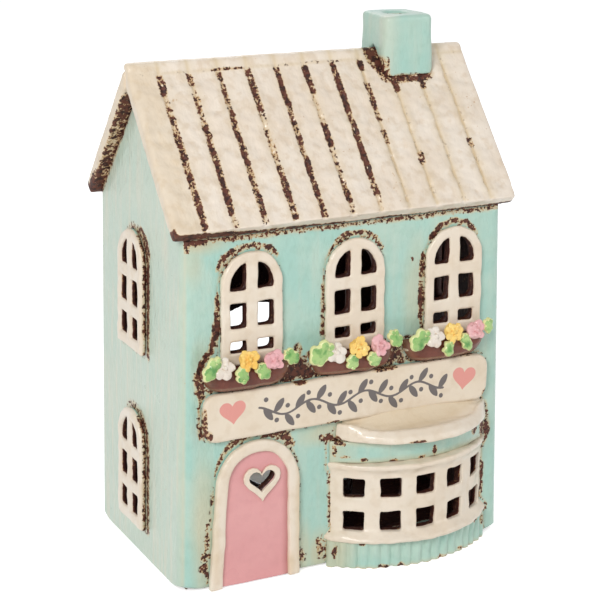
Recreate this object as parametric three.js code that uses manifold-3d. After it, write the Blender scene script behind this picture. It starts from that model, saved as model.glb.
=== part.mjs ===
// A pottery tealight holder in the form of a two-storey shop, built from rolled clay slabs and sprigs.
// Millimetres, +Z up. The shop front faces -Y. The origin is the middle of the walls' footprint,
// on the surface that the holder stands on.
import * as THREE from 'three';
import { mergeVertices } from 'three/addons/utils/BufferGeometryUtils.js';
import Module from 'manifold-3d';

const wasm = await Module();
wasm.setup();

// Walls and floor
const houseWidth = 112; // across the gable walls at the lean height
const houseDepth = 72.2; // from the front face to the back face
const gableLean = 2.7; // each gable wall stands this much further out at its foot
const leanHeight = 112.8;
const wallClay = 3.6;
const floorClay = 5;
const wallEdge = 1.5; // the front and back walls' outer edges are wiped round
const seam = 0.3; // slip joint where two pieces meet on a slope or a curve

// Roof
const ridgeHeight = 163.7; // where the two slopes would meet
const ridgeRound = 3.2;
const eaveHeight = 118; // of the roof's outer edge
const eaveReach = 3.4; // beyond the front and back walls
const vergeReach = 3.65; // beyond the gable walls
const roofClay = 5;
const boardCount = 12;
const grooveWidth = 1.5;
const grooveDepth = 0.8;
const ridgeStripWidth = 3.4; // down each slope
const ridgeStripClay = 1.8;
const ridgeStripProud = 0.4;

// Chimney
const chimneyX = houseWidth / 2 - 20.6;
const chimneyY = 0;
const chimneyWidth = 17;
const chimneyDepth = 18;
const chimneyRise = 10.1; // above the line where the slopes would meet
const chimneyCorner = 2.4;
const chimneyEdge = 1.4;
const flueRadius = 3.1;
const chimneyTaper = 0.04; // share by which its top is narrower than its foot

// Back doorway for the candle
const doorwayHalf = 25;
const doorwaySpringing = 45;

// Windows
const frameHalf = 10.4;
const frameProud = 2;
const frameEdge = 0.5;
const mullion = 3.9;
const paneWidth = 5.3;
const glazingBar = 4.2;
const archDrop = 1.6; // from the springing of the arch down to the foot of the arched panes
const frontWindowPitch = houseWidth * 0.319;
const frontWindowMiddle = 1.7;
const frontWindowDrop = 8; // from the roof's edge down to the top of the frames
const frontWindowRail = 4.2;
const frontMiddlePane = 0.68; // share of the height of the two lower rows of panes
const sideWindowY = 3.4;
const sideWindowDrop = 8;
const sideWindowHeight = 39.2;
const sideWindowRail = 4;
const sideMiddlePane = 0.535;
const storeyDrop = 60; // from an upper side window to the lower one

// Door
const doorX = 23.7 - houseWidth / 2;
const doorTop = 48.7;
const doorFoot = 0.4;
const surroundHalf = 14.4;
const surroundBand = 3.9;
const surroundProud = 2.5;
const doorProud = 1;
const doorSplay = 2.8; // the left foot of the surround runs out this far
const heartX = doorX + 1.3; // set by eye, a little off the middle
const heartHeight = 33.6; // centre of the rim above the ground
const heartRimWidth = 13;
const heartRimHeight = 12;
const heartHoleWidth = 9.1;
const heartHoleHeight = 7.4;
const heartHoleLift = 0.8; // above the centre of the rim
const heartRimProud = 1; // above the door panel

// Sign board
const signLeft = 5 - houseWidth / 2;
const signRight = houseWidth / 2 - 5.4;
const signBottom = 50.4;
const signHeight = 15.6;
const signProud = 3;
const signCorner = 4.2;

// Bow window: each ring of its outline is a flat arc that ends on the front wall
const bowX = houseWidth / 2 - 33.7;
const bowOut = 12; // how far the lattice stands out of the wall at its middle
const bowHalf = 28.4; // half its width on the wall
const bowClay = 3.6;
const bowSteps = 24;
const plinthHeight = 9.4;
const ribCount = 18;
const ribDepth = 1;
const latticeHeight = 26.8;
const sillReach = 3.4; // of the sill and the cornice, past the lattice
const corniceReach = 1.8;
const bandHeight = 7.4;
const bandInset = 2;
const canopyReach = 5;
const canopyShift = 1.2; // of its middle to the right, because its left end is wiped short
const bowColumns = 5;
const bowPaneWidth = 7;
const bowPaneHeight = 6.6;
const bowPaneShift = 0.7; // of the panes to the right, along the curve
const bowPanePitch = 12.3;
const bowRowPitch = 11.4;
const bowLowRow = 16.4; // centre of the lower row of panes above the ground

// Window boxes, set by eye under the windows
const leftBoxX = frontWindowMiddle - frontWindowPitch - 2.3;
const middleBoxX = frontWindowMiddle - 1.1;
const rightBoxX = frontWindowMiddle + frontWindowPitch - 3.3;
const boxHalf = 15;
const boxOut = 5.8;
const boxHeight = 8;
const boxLift = 0.8; // of its rounded foot, above the sign board
const boxTaper = 3.4; // the foot is this much narrower at each end

// Blooms and leaves, one list entry for each box. A bloom is [along the box, height] from the middle of
// the box's top, and a leaf is [along the box, height, turn, length, width]. Lengths along the box and of
// leaves are shares of half the box, and heights are shares of the box's height.
const bloomRadius = 3.4;
const bloomThickness = 3.6;
const bloomEdge = 1;
const bloomFront = 8.4; // of the crown, ahead of the wall
const bloomTilt = 0.3;
const leafThickness = 2.2;
const leafEdge = 0.7;
const leafFront = 8;
const leafTilt = 0.15;
const posies = [
  {
    side: 'left', x: leftBoxX,
    blooms: { white: [-0.627, 0.3], yellow: [-0.08, 0.487], pink: [0.5, 0.325] },
    leaves: {
      left: [-0.907, 0.3, 1, 0.507, 0.293], low_left: [-0.24, -0.075, 1.5, 0.373, 0.28],
      low_right: [0.227, -0.087, 1.9, 0.4, 0.28], right: [0.86, 0.362, 2.2, 0.413, 0.28],
    },
  },
  {
    side: 'middle', x: middleBoxX,
    blooms: { white: [-0.54, 0.25], yellow: [-0.007, 0.325], pink: [0.507, 0.275] },
    leaves: {
      left: [-0.893, 0.275, 0.5, 0.547, 0.44], low_left: [-0.18, -0.25, 1.5, 0.333, 0.28],
      low_right: [0.333, -0.275, 1.8, 0.333, 0.293], right: [0.84, 0.45, 2, 0.427, 0.293],
    },
  },
  {
    side: 'right', x: rightBoxX,
    blooms: { white: [-0.413, 0.3], yellow: [0.047, 0.362], pink: [0.613, 0.3] },
    leaves: {
      left: [-0.793, 0.2, 0.9, 0.507, 0.347], low_left: [-0.087, -0.275, 1.2, 0.387, 0.253],
      low_right: [0.353, -0.15, 1.9, 0.427, 0.253], right: [0.893, 0.4, 1.6, 0.333, 0.227],
    },
  },
];

// Tealight
const candleY = 0;
const cupRadius = 19;
const cupHeight = 15;
const foil = 0.4;
const waxHeight = 12.2;
const waxGap = 0.3;
const wickRadius = 0.6;
const wickLength = 20;
const sustainerRadius = 6.5;
const collarRadius = 1.4;
const collarHeight = 3.2;
const slideGap = 0.1; // under the cup, so that it slides

// Worked out from the sizes above
const frontFace = -houseDepth / 2;
const backFace = houseDepth / 2;
const roofRun = houseDepth / 2 + eaveReach;
const roofPitch = Math.atan2(ridgeHeight - eaveHeight, roofRun);
const slopeLength = roofRun / Math.cos(roofPitch);
const roofLength = houseWidth + 2 * vergeReach;
const signTop = signBottom + signHeight;
const boxTop = signTop + boxHeight;
const boxFoot = signTop + boxLift;
const frontWindowTop = eaveHeight - frontWindowDrop;
const sideWindowTop = eaveHeight - sideWindowDrop;
const bowRadius = (bowHalf ** 2 + bowOut ** 2) / (2 * bowOut);
const bowInnerHalf = Math.sqrt((bowRadius - bowClay) ** 2 - (bowRadius - bowOut) ** 2);
const latticeTop = plinthHeight + latticeHeight;
const bandTop = latticeTop + bandHeight;
const chimneyTop = ridgeHeight + chimneyRise;
const far = 400; // longer than anything here, for cutting tools

// The roof's outer surface at a distance from the ridge, and the top of a wall below its underside
const roofSurface = (y) => ridgeHeight - Math.abs(y) * Math.tan(roofPitch);
const wallTop = (y) => roofSurface(y) - (roofClay + seam) / Math.cos(roofPitch);
const wallHalf = (z) => houseWidth / 2 + gableLean * (1 - z / leanHeight);

const glaze = (color, roughness = 0.25) => new THREE.MeshStandardMaterial({ color, roughness, metalness: 0 });
const mint = glaze(0xa9d3c5);
const cream = glaze(0xe6dac6);
const pink = glaze(0xd99aa3);
const brown = glaze(0x5c3530);
const white = glaze(0xe8ddd2);
const yellow = glaze(0xf0bf4c);
const green = glaze(0x7fb45f);
const aluminium = new THREE.MeshStandardMaterial({ color: 0xc9cbce, roughness: 0.35, metalness: 1 });
const paraffin = glaze(0xf3f0e6, 0.6);
const cotton = glaze(0xe9e4d6, 0.9);

const house = new THREE.Group();

function place(name, geometry, material, parent = house) {
  const mesh = new THREE.Mesh(geometry, material);
  mesh.name = name;
  parent.add(mesh);
  return mesh;
}

// Drawn X and Y become X and Z, and the drawn depth comes forwards
const facingFront = new THREE.Matrix4().makeBasis(
  new THREE.Vector3(1, 0, 0), new THREE.Vector3(0, 0, 1), new THREE.Vector3(0, -1, 0));
// Drawn X becomes +Y or -Y, drawn Y becomes Z, and the drawn depth goes out of the right or the left gable
const facingSide = (side) => new THREE.Matrix4().makeBasis(
  new THREE.Vector3(0, side, 0), new THREE.Vector3(0, 0, 1), new THREE.Vector3(side, 0, 0));

function toSolid(geometry) {
  const bare = new THREE.BufferGeometry();
  bare.setAttribute('position', geometry.attributes.position.clone());
  if (geometry.index) bare.setIndex(geometry.index.clone());
  const merged = mergeVertices(bare, 1e-4);
  return new wasm.Manifold(new wasm.Mesh({
    numProp: 3,
    vertProperties: new Float32Array(merged.attributes.position.array),
    triVerts: new Uint32Array(merged.index.array),
  }));
}

function toGeometry(solid) {
  const mesh = solid.getMesh();
  const geometry = new THREE.BufferGeometry();
  geometry.setAttribute('position', new THREE.BufferAttribute(mesh.vertProperties, 3));
  geometry.setIndex(new THREE.BufferAttribute(mesh.triVerts, 1));
  geometry.computeVertexNormals();
  return geometry;
}

function cut(geometry, ...tools) {
  let solid = toSolid(geometry);
  for (const tool of tools) solid = solid.subtract(toSolid(tool));
  return toGeometry(solid);
}

// Points along an arc, from one angle to another
function arc(x, y, radius, from, to, steps) {
  const points = [];
  for (let i = 0; i <= steps; i += 1) {
    const angle = from + (to - from) * i / steps;
    points.push(new THREE.Vector2(x + radius * Math.cos(angle), y + radius * Math.sin(angle)));
  }
  return points;
}

function rectangle(left, right, bottom, top) {
  return [[left, bottom], [right, bottom], [right, top], [left, top]].map(([x, y]) => new THREE.Vector2(x, y));
}

function roundedRectangle(left, right, bottom, top, radius, steps = 4) {
  const quarter = Math.PI / 2;
  return [
    ...arc(right - radius, bottom + radius, radius, -quarter, 0, steps),
    ...arc(right - radius, top - radius, radius, 0, quarter, steps),
    ...arc(left + radius, top - radius, radius, quarter, 2 * quarter, steps),
    ...arc(left + radius, bottom + radius, radius, 2 * quarter, 3 * quarter, steps),
  ];
}

// An upright with a round head
function archOutline(x, half, foot, top, steps = 14) {
  return [
    new THREE.Vector2(x - half, foot), new THREE.Vector2(x + half, foot),
    ...arc(x, top - half, half, 0, Math.PI, steps),
  ];
}

function heartOutline(x, y, width, height, steps = 28) {
  const points = [];
  for (let i = 0; i < steps; i += 1) {
    const t = (i / steps) * 2 * Math.PI;
    const across = Math.sin(t) ** 3;
    const up = (13 * Math.cos(t) - 5 * Math.cos(2 * t) - 2 * Math.cos(3 * t) - Math.cos(4 * t) + 2.5) / 29;
    points.push(new THREE.Vector2(x - across * width / 2, y + up * height));
  }
  return points;
}

const counterClockwise = (points) => (THREE.ShapeUtils.isClockWise(points) ? [...points].reverse() : points);

const sheet = (outline, settings) => new THREE.ExtrudeGeometry(new THREE.Shape(counterClockwise(outline)), settings);

const holesThrough = (holes, depth) => holes.map(
  (hole) => sheet(hole, { depth: depth + 2, bevelEnabled: false }).translate(0, 0, -1));

// A plain slab of clay with holes cut through it
function slab(outline, holes, depth) {
  return cut(sheet(outline, { depth, bevelEnabled: false }), ...holesThrough(holes, depth));
}

// The same with the edges of its upper face softened
function softSlab(outline, holes, depth, edge, steps = 1) {
  const softened = sheet(outline, {
    depth: depth - edge, bevelThickness: edge, bevelSize: edge, bevelOffset: -edge, bevelSegments: steps,
  });
  const below = new THREE.BoxGeometry(far, far, far).translate(0, 0, -far / 2);
  const flares = holes.map((hole) => sheet(hole, {
    depth: edge, bevelThickness: edge, bevelSize: edge, bevelSegments: steps,
  }).translate(0, 0, depth));
  return cut(softened, below, ...holesThrough(holes, depth), ...flares);
}

function reshape(geometry, move) {
  const places = geometry.attributes.position;
  const point = new THREE.Vector3();
  for (let i = 0; i < places.count; i += 1) {
    point.fromBufferAttribute(places, i);
    move(point);
    places.setXYZ(i, point.x, point.y, point.z);
  }
  geometry.computeVertexNormals();
  return geometry;
}

// The six panes of a round-headed window
function panes({ x, top, foot, rail, middlePane }) {
  const springing = top - frameHalf;
  const reach = mullion / 2 + paneWidth;
  const archFoot = springing - archDrop;
  const lowerPanes = archFoot - foot - rail - 2 * glazingBar;
  const middleTop = archFoot - glazingBar;
  const middleFoot = middleTop - middlePane * lowerPanes;
  const lowTop = middleFoot - glazingBar;
  const turn = Math.acos(mullion / 2 / reach);
  const holes = [];
  for (const side of [-1, 1]) {
    const near = x + side * mullion / 2;
    const out = x + side * reach;
    const start = side > 0 ? 0 : Math.PI;
    holes.push(rectangle(Math.min(near, out), Math.max(near, out), foot + rail, lowTop));
    holes.push(rectangle(Math.min(near, out), Math.max(near, out), middleFoot, middleTop));
    holes.push([
      new THREE.Vector2(near, archFoot), new THREE.Vector2(out, archFoot),
      ...arc(x, springing, reach, start, start + side * turn, 4),
    ]);
  }
  return holes;
}

function windowFrame(window) {
  return softSlab(archOutline(window.x, frameHalf, window.foot, window.top), panes(window), frameProud, frameEdge);
}

// Front wall: trapezoid, wider at the foot, with the windows, the heart and the way into the bow window cut out
const frontWindows = [-1, 0, 1].map((k) => ({
  x: frontWindowMiddle + k * frontWindowPitch, top: frontWindowTop, foot: boxTop, rail: frontWindowRail,
  middlePane: frontMiddlePane,
}));
const wallRise = wallTop(frontFace);
const endWallOutline = [
  [-wallHalf(0), 0], [wallHalf(0), 0], [wallHalf(wallRise), wallRise], [-wallHalf(wallRise), wallRise],
].map(([x, z]) => new THREE.Vector2(x, z));
const bowDoor = rectangle(bowX - bowInnerHalf, bowX + bowInnerHalf, plinthHeight, latticeTop);
const heartHole = heartOutline(heartX, heartHeight + heartHoleLift, heartHoleWidth, heartHoleHeight);

// The inner face of a front or back wall rises to meet the underside of the roof
function bevelUnderRoof(geometry) {
  return reshape(geometry, (p) => {
    if (p.z > wallRise - 0.01) p.z = wallTop(p.y);
  });
}

const frontWall = cut(softSlab(endWallOutline, [], wallClay, wallEdge, 2),
  ...holesThrough([...frontWindows.flatMap(panes), bowDoor, heartHole], wallClay));
frontWall.applyMatrix4(facingFront).translate(0, frontFace + wallClay, 0);
place('front_wall', bevelUnderRoof(frontWall), mint);

const doorway = archOutline(0, doorwayHalf, floorClay, doorwaySpringing + doorwayHalf, 22);
const backWall = cut(softSlab(endWallOutline, [], wallClay, wallEdge, 2), ...holesThrough([doorway], wallClay));
backWall.applyMatrix4(facingFront).rotateZ(Math.PI).translate(0, backFace - wallClay, 0);
place('back_wall', bevelUnderRoof(backWall), mint);

// Gable walls lean out towards the foot
function lean(geometry, side) {
  return reshape(geometry, (p) => {
    p.x += side * gableLean * (1 - p.z / leanHeight);
  });
}

const gableHalf = houseDepth / 2 - wallClay;
for (const [name, side] of [['left', -1], ['right', 1]]) {
  const windows = ['upper', 'lower'].map((floor, k) => {
    const top = sideWindowTop - k * storeyDrop;
    return {
      floor, x: side * sideWindowY, top, foot: top - sideWindowHeight, rail: sideWindowRail,
      middlePane: sideMiddlePane,
    };
  });
  const outline = [
    [-gableHalf, 0], [gableHalf, 0], [gableHalf, wallTop(gableHalf)], [0, wallTop(0)], [-gableHalf, wallTop(gableHalf)],
  ].map(([y, z]) => new THREE.Vector2(y, z));
  const wall = slab(outline, windows.flatMap(panes), wallClay)
    .applyMatrix4(facingSide(side)).translate(side * (houseWidth / 2 - wallClay), 0, 0);
  place(`${name}_gable_wall`, lean(wall, side), mint);
  for (const window of windows) {
    const frame = windowFrame(window).applyMatrix4(facingSide(side)).translate(side * (houseWidth / 2 + seam), 0, 0);
    place(`${name}_${window.floor}_window`, lean(frame, side), cream);
  }
}

const floorHalf = wallHalf(floorClay) - wallClay - seam;
const floor = slab(rectangle(-floorHalf, floorHalf, -gableHalf, gableHalf), [], floorClay);
place('floor_slab', floor, mint);

// Front window frames stand on the wall's face
for (const [k, side] of ['left', 'middle', 'right'].entries()) {
  const frame = windowFrame(frontWindows[k]).applyMatrix4(facingFront);
  place(`front_${side}_window`, frame, cream).position.y = frontFace;
}

// Roof slabs: grooved boards, laid on the slope, mitred at the ridge and let down for the ridge strip
const flue = new THREE.CylinderGeometry(flueRadius, flueRadius, far, 24).rotateX(Math.PI / 2)
  .translate(chimneyX, chimneyY, ridgeHeight);

function roofSlab(side) {
  const end = roofLength / 2;
  const boardWidth = roofLength / boardCount;
  const edge = 1;
  const top = [new THREE.Vector2(-end, -edge), new THREE.Vector2(-end + edge, 0)];
  for (let k = 1; k < boardCount; k += 1) {
    const x = -end + k * boardWidth;
    top.push(new THREE.Vector2(x - grooveWidth / 2, 0), new THREE.Vector2(x - grooveWidth / 6, -grooveDepth));
    top.push(new THREE.Vector2(x + grooveWidth / 6, -grooveDepth), new THREE.Vector2(x + grooveWidth / 2, 0));
  }
  top.push(new THREE.Vector2(end - edge, 0), new THREE.Vector2(end, -edge));
  const outline = [new THREE.Vector2(end, -roofClay), new THREE.Vector2(-end, -roofClay), ...top];
  const rebate = new THREE.BoxGeometry(
    far, 2 * (ridgeStripClay - ridgeStripProud + seam), 2 * (ridgeStripWidth + seam));
  const toSlope = new THREE.Matrix4().makeBasis(
    new THREE.Vector3(1, 0, 0),
    new THREE.Vector3(0, -Math.sin(roofPitch), Math.cos(roofPitch)),
    new THREE.Vector3(0, -Math.cos(roofPitch), -Math.sin(roofPitch))).setPosition(0, 0, ridgeHeight);
  const boards = slab(outline, [], slopeLength);
  const turn = side === 'front' ? 0 : Math.PI;
  boards.applyMatrix4(toSlope).rotateZ(turn);
  rebate.applyMatrix4(toSlope).rotateZ(turn);
  const otherSide = new THREE.BoxGeometry(far, far, far).translate(0, far / 2 - seam / 2, ridgeHeight).rotateZ(turn);
  return cut(boards, rebate, otherSide, flue);
}
place('roof_front_slab', roofSlab('front'), cream);
place('roof_back_slab', roofSlab('back'), cream);

// Ridge strip: a rounded angle of thin clay over the mitre, on either side of the flue
function chevron(width, thickness, round, lift) {
  const apex = ridgeHeight + lift / Math.cos(roofPitch);
  const foot = (depth) => [width * Math.cos(roofPitch) + (lift - depth) * Math.sin(roofPitch),
    ridgeHeight - width * Math.sin(roofPitch) + (lift - depth) * Math.cos(roofPitch)];
  const [outerY, outerZ] = foot(0);
  const [innerY, innerZ] = foot(thickness);
  const crown = round > 0
    ? arc(0, apex - round / Math.cos(roofPitch), round, Math.PI / 2 - roofPitch, Math.PI / 2 + roofPitch, 6)
    : [new THREE.Vector2(0, apex)];
  return [
    new THREE.Vector2(outerY, outerZ), ...crown, new THREE.Vector2(-outerY, outerZ), new THREE.Vector2(-innerY, innerZ),
    new THREE.Vector2(0, apex - thickness / Math.cos(roofPitch)), new THREE.Vector2(innerY, innerZ),
  ];
}
const angle = (outline, from, to) => slab(outline, [], to - from)
  .applyMatrix4(facingSide(1)).translate(from, 0, 0);
const ridgeStrip = (from, to) => angle(
  chevron(ridgeStripWidth, ridgeStripClay, ridgeRound, ridgeStripProud), from, to);
place('ridge_strip_left', ridgeStrip(-roofLength / 2, chimneyX - flueRadius - 1), cream);
place('ridge_strip_right', ridgeStrip(chimneyX + flueRadius + 1, roofLength / 2), cream);

// Chimney: a soft-edged block, saddled on the ridge, with the flue down through it
const chimneyOutline = roundedRectangle(
  chimneyX - chimneyWidth / 2, chimneyX + chimneyWidth / 2,
  chimneyY - chimneyDepth / 2, chimneyY + chimneyDepth / 2, chimneyCorner);
const flueOutline = arc(chimneyX, chimneyY, flueRadius, 0, 2 * Math.PI, 24).slice(0, -1);
const chimneyFoot = roofSurface(chimneyDepth) - roofClay;
const chimneyBlock = reshape(
  softSlab(chimneyOutline, [flueOutline], chimneyTop - chimneyFoot, chimneyEdge, 3).translate(0, 0, chimneyFoot),
  (p) => {
    const rise = (p.z - chimneyFoot) / (chimneyTop - chimneyFoot);
    p.x = chimneyX + (p.x - chimneyX) * (1 - chimneyTaper * rise);
  });
const roofTool = angle(chevron(slopeLength, 4 * roofClay, 0, seam), -roofLength / 2, roofLength / 2);
const stripTool = angle(
  chevron(ridgeStripWidth + seam, ridgeStripClay, ridgeRound, ridgeStripProud + seam),
  -roofLength / 2, roofLength / 2);
place('chimney', cut(chimneyBlock, roofTool, stripTool), mint);

// Door: surround and panel on the wall, heart-shaped rim on the panel
const doorHalf = surroundHalf - surroundBand;
const doorHead = doorTop - surroundBand;
const surroundOutline = [
  new THREE.Vector2(doorX + surroundHalf, doorFoot),
  ...arc(doorX, doorTop - surroundHalf, surroundHalf, 0, Math.PI, 18),
  new THREE.Vector2(doorX - surroundHalf, doorFoot),
  new THREE.Vector2(doorX - doorHalf, doorFoot),
  ...arc(doorX, doorHead - doorHalf, doorHalf, Math.PI, 0, 18),
  new THREE.Vector2(doorX + doorHalf, doorFoot),
];
const splay = (geometry) => reshape(geometry, (p) => {
  const leftward = Math.max(0, doorX - p.x) / surroundHalf;
  p.x -= doorSplay * leftward * Math.max(0, 1 - p.z / (doorTop - surroundHalf));
});
const surround = splay(softSlab(surroundOutline, [], surroundProud, frameEdge).applyMatrix4(facingFront));
place('door_surround', surround, cream).position.y = frontFace;

const panelOutline = archOutline(doorX, doorHalf - seam, doorFoot, doorHead - seam);
const panel = splay(slab(panelOutline, [heartHole], doorProud).applyMatrix4(facingFront));
place('door_panel', panel, pink).position.y = frontFace;

const heartRim = slab(heartOutline(heartX, heartHeight, heartRimWidth, heartRimHeight), [heartHole], heartRimProud)
  .applyMatrix4(facingFront);
place('door_heart_rim', heartRim, cream).position.y = frontFace - doorProud;

// Sign board
const sign = softSlab(roundedRectangle(signLeft, signRight, signBottom, signTop, signCorner), [], signProud, 0.9, 2)
  .applyMatrix4(facingFront);
place('sign_board', sign, cream).position.y = frontFace;

// Plans of the pieces that stand out of the front wall: where a share of the way along is, how far it is
// out of the wall, and which way it faces. Both ends lie on the wall.
function bowPlan(out, half, share) {
  if (out === 0) return [half * (2 * share - 1), 0, 0];
  const radius = (half ** 2 + out ** 2) / (2 * out);
  const turn = Math.asin(half / radius) * (2 * share - 1);
  return [radius * Math.sin(turn), radius * Math.cos(turn) - radius + out, turn];
}

function troughPlan(out, half, share) {
  const across = -Math.cos(Math.PI * share);
  const forward = Math.max(0, Math.sin(Math.PI * share));
  return [half * Math.sign(across) * Math.abs(across) ** 0.75, out * forward ** 0.75, 0];
}

// A piece drawn through rings of such a plan, listed from the back of its underside to the back of its top
function standOut(rings, plan, x, steps, ripple = () => 0) {
  const places = [];
  const faces = [];
  const around = rings.length;
  for (let i = 0; i <= steps; i += 1) {
    for (const { out, half, z } of rings) {
      const [across, forward, turn] = plan(out, half, i / steps);
      const swell = out > 0 ? ripple(i / steps) : 0;
      places.push(x + across + swell * Math.sin(turn), frontFace - forward - swell * Math.cos(turn), z);
    }
  }
  for (let i = 0; i < steps; i += 1) {
    for (let k = 0; k < around; k += 1) {
      const a = i * around + k;
      const b = i * around + (k + 1) % around;
      faces.push(a, b + around, b, a, a + around, b + around);
    }
  }
  const onWall = rings.map(({ half, z }) => new THREE.Vector2(half, z));
  for (const [a, b, c] of THREE.ShapeUtils.triangulateShape(onWall, [])) {
    const turned = THREE.ShapeUtils.area([onWall[a], onWall[b], onWall[c]]) > 0;
    const last = steps * around;
    faces.push(...(turned ? [a, b, c] : [a, c, b]));
    faces.push(...(turned ? [last + a, last + c, last + b] : [last + a, last + b, last + c]));
  }
  const geometry = new THREE.BufferGeometry();
  geometry.setAttribute('position', new THREE.Float32BufferAttribute(places, 3));
  geometry.setIndex(faces);
  geometry.computeVertexNormals();
  return geometry;
}

const ring = (out, half, z) => ({ out, half, z });

// Bow window: ribbed plinth, lattice with a nosed sill and a flared cornice, band, dished canopy
const plinthHalf = bowHalf + 1.3;
const ribs = (share) => ribDepth * Math.abs(Math.sin(Math.PI * ribCount * share));
const plinth = standOut([
  ring(0, plinthHalf - 1.5, 0), ring(bowOut - ribDepth, plinthHalf, 0),
  ring(bowOut - ribDepth, plinthHalf, plinthHeight), ring(0, plinthHalf - 1.5, plinthHeight),
], bowPlan, bowX, ribCount * 4, ribs);
place('bow_plinth', plinth, mint);

const sillOut = bowOut + sillReach;
const corniceOut = bowOut + corniceReach;
const bowShell = standOut([
  ring(bowOut - bowClay, bowInnerHalf, plinthHeight),
  ring(sillOut - 1, bowHalf + 1.8, plinthHeight),
  ring(sillOut - 0.2, bowHalf + 2.3, plinthHeight + 0.5),
  ring(sillOut, bowHalf + 2.4, plinthHeight + 1.2),
  ring(sillOut - 0.4, bowHalf + 2.2, plinthHeight + 1.8),
  ring(bowOut + 1.6, bowHalf + 1.2, plinthHeight + 2.8),
  ring(bowOut + 0.5, bowHalf + 0.4, plinthHeight + 3.6),
  ring(bowOut, bowHalf, plinthHeight + 4.4),
  ring(bowOut, bowHalf, latticeTop - 3.8),
  ring(bowOut + 0.7, bowHalf + 0.5, latticeTop - 2.6),
  ring(corniceOut, bowHalf + 1.2, latticeTop - 1.4),
  ring(corniceOut, bowHalf + 1.2, latticeTop - 0.5),
  ring(corniceOut - 0.6, bowHalf + 0.9, latticeTop),
  ring(bowOut - bowClay, bowInnerHalf, latticeTop),
], bowPlan, bowX, bowSteps);
const bowPanes = [];
for (let column = 0; column < bowColumns; column += 1) {
  for (const row of [0, 1]) {
    const turn = ((column - (bowColumns - 1) / 2) * bowPanePitch + bowPaneShift) / bowRadius;
    bowPanes.push(new THREE.BoxGeometry(bowPaneWidth, 4 * bowClay, bowPaneHeight)
      .translate(0, bowClay / 2 - bowRadius, 0).rotateZ(turn)
      .translate(bowX, frontFace - bowOut + bowRadius, bowLowRow + row * bowRowPitch));
  }
}
place('bow_lattice', cut(bowShell, ...bowPanes), cream);

const bandOut = bowOut - bandInset;
const bandHalf = bowHalf + 1.1;
const band = standOut([
  ring(0, bandHalf - 1.5, latticeTop), ring(bandOut, bandHalf, latticeTop),
  ring(bandOut, bandHalf, bandTop), ring(0, bandHalf - 1.5, bandTop),
], bowPlan, bowX, bowSteps);
place('bow_band', band, mint);

const canopyOut = bowOut + canopyReach;
const canopyTop = signBottom - seam;
const canopyRise = canopyTop - bandTop;
const canopy = standOut([
  ring(0, bowHalf - 2.1, bandTop),
  ring(canopyOut * 0.79, bowHalf - 0.4, bandTop),
  ring(canopyOut * 0.97, bowHalf, bandTop + 0.06 * canopyRise),
  ring(canopyOut, bowHalf + 0.1, bandTop + 0.15 * canopyRise),
  ring(canopyOut * 0.95, bowHalf - 0.1, bandTop + 0.4 * canopyRise),
  ring(canopyOut * 0.82, bowHalf - 0.7, bandTop + 0.65 * canopyRise),
  ring(canopyOut * 0.78, bowHalf - 0.9, bandTop + 0.68 * canopyRise),
  ring(canopyOut * 0.62, bowHalf - 1.4, bandTop + 0.58 * canopyRise),
  ring(canopyOut * 0.4, bowHalf - 1.7, bandTop + 0.63 * canopyRise),
  ring(canopyOut * 0.27, bowHalf - 1.9, bandTop + 0.78 * canopyRise),
  ring(canopyOut * 0.19, bowHalf - 2, bandTop + 0.97 * canopyRise),
  ring(0, bowHalf - 2.2, canopyTop),
], bowPlan, bowX + canopyShift, bowSteps);
place('bow_canopy', canopy, cream);

// Window boxes: boat-shaped, stuck on the wall just above the sign board
function trough(x, grow) {
  const footHalf = boxHalf - boxTaper + grow;
  const half = boxHalf + grow;
  const out = boxOut + grow;
  return standOut([
    ring(0, footHalf - 1.2, boxFoot - grow),
    ring(out - 2.4, footHalf, boxFoot - grow),
    ring(out - 0.8, footHalf + 1.4, boxFoot + 1.6 - grow),
    ring(out, half - 0.5, boxFoot + boxHeight / 2),
    ring(out, half, boxTop - 1 + grow),
    ring(out - 0.6, half - 0.5, boxTop + grow),
    ring(0, half - 1.8, boxTop + grow),
  ], troughPlan, x, 20);
}

// A domed sprig with a flat back, from its rim and the height of its face
function sprig(rim, rise, rings, spokes) {
  const places = [0, 0, rise(0, 0)];
  const faces = [];
  for (let i = 1; i <= rings; i += 1) {
    for (let j = 0; j < spokes; j += 1) {
      const angle = 2 * Math.PI * j / spokes;
      const [x, y] = rim(angle);
      places.push(x * i / rings, y * i / rings, rise(i / rings, angle));
    }
  }
  const front = (i, j) => 1 + (i - 1) * spokes + j % spokes;
  const back = places.length / 3;
  for (let j = 0; j < spokes; j += 1) {
    const [x, y] = rim(2 * Math.PI * j / spokes);
    places.push(x, y, 0);
  }
  const middle = places.length / 3;
  places.push(0, 0, 0);
  for (let j = 0; j < spokes; j += 1) {
    const here = back + j;
    const next = back + (j + 1) % spokes;
    faces.push(0, front(1, j), front(1, j + 1), middle, next, here);
    faces.push(front(rings, j), here, next, front(rings, j), next, front(rings, j + 1));
    for (let i = 1; i < rings; i += 1) {
      faces.push(front(i, j), front(i + 1, j), front(i + 1, j + 1));
      faces.push(front(i, j), front(i + 1, j + 1), front(i, j + 1));
    }
  }
  const geometry = new THREE.BufferGeometry();
  geometry.setAttribute('position', new THREE.Float32BufferAttribute(places, 3));
  geometry.setIndex(faces);
  return geometry;
}

function bloom(grow) {
  const radius = bloomRadius + grow;
  const rim = (angle) => {
    const petal = radius * (1 - 0.08 * (0.5 + 0.5 * Math.cos(5 * angle)));
    return [petal * Math.cos(angle), petal * Math.sin(angle)];
  };
  const rise = (share, angle) => {
    const dome = bloomEdge + (bloomThickness - bloomEdge) * Math.sqrt(1 - 0.95 * share ** 2);
    return dome + grow - 0.3 * share * (0.5 + 0.5 * Math.cos(2 * angle - 8 * share));
  };
  return sprig(rim, rise, 4, 20);
}

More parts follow.
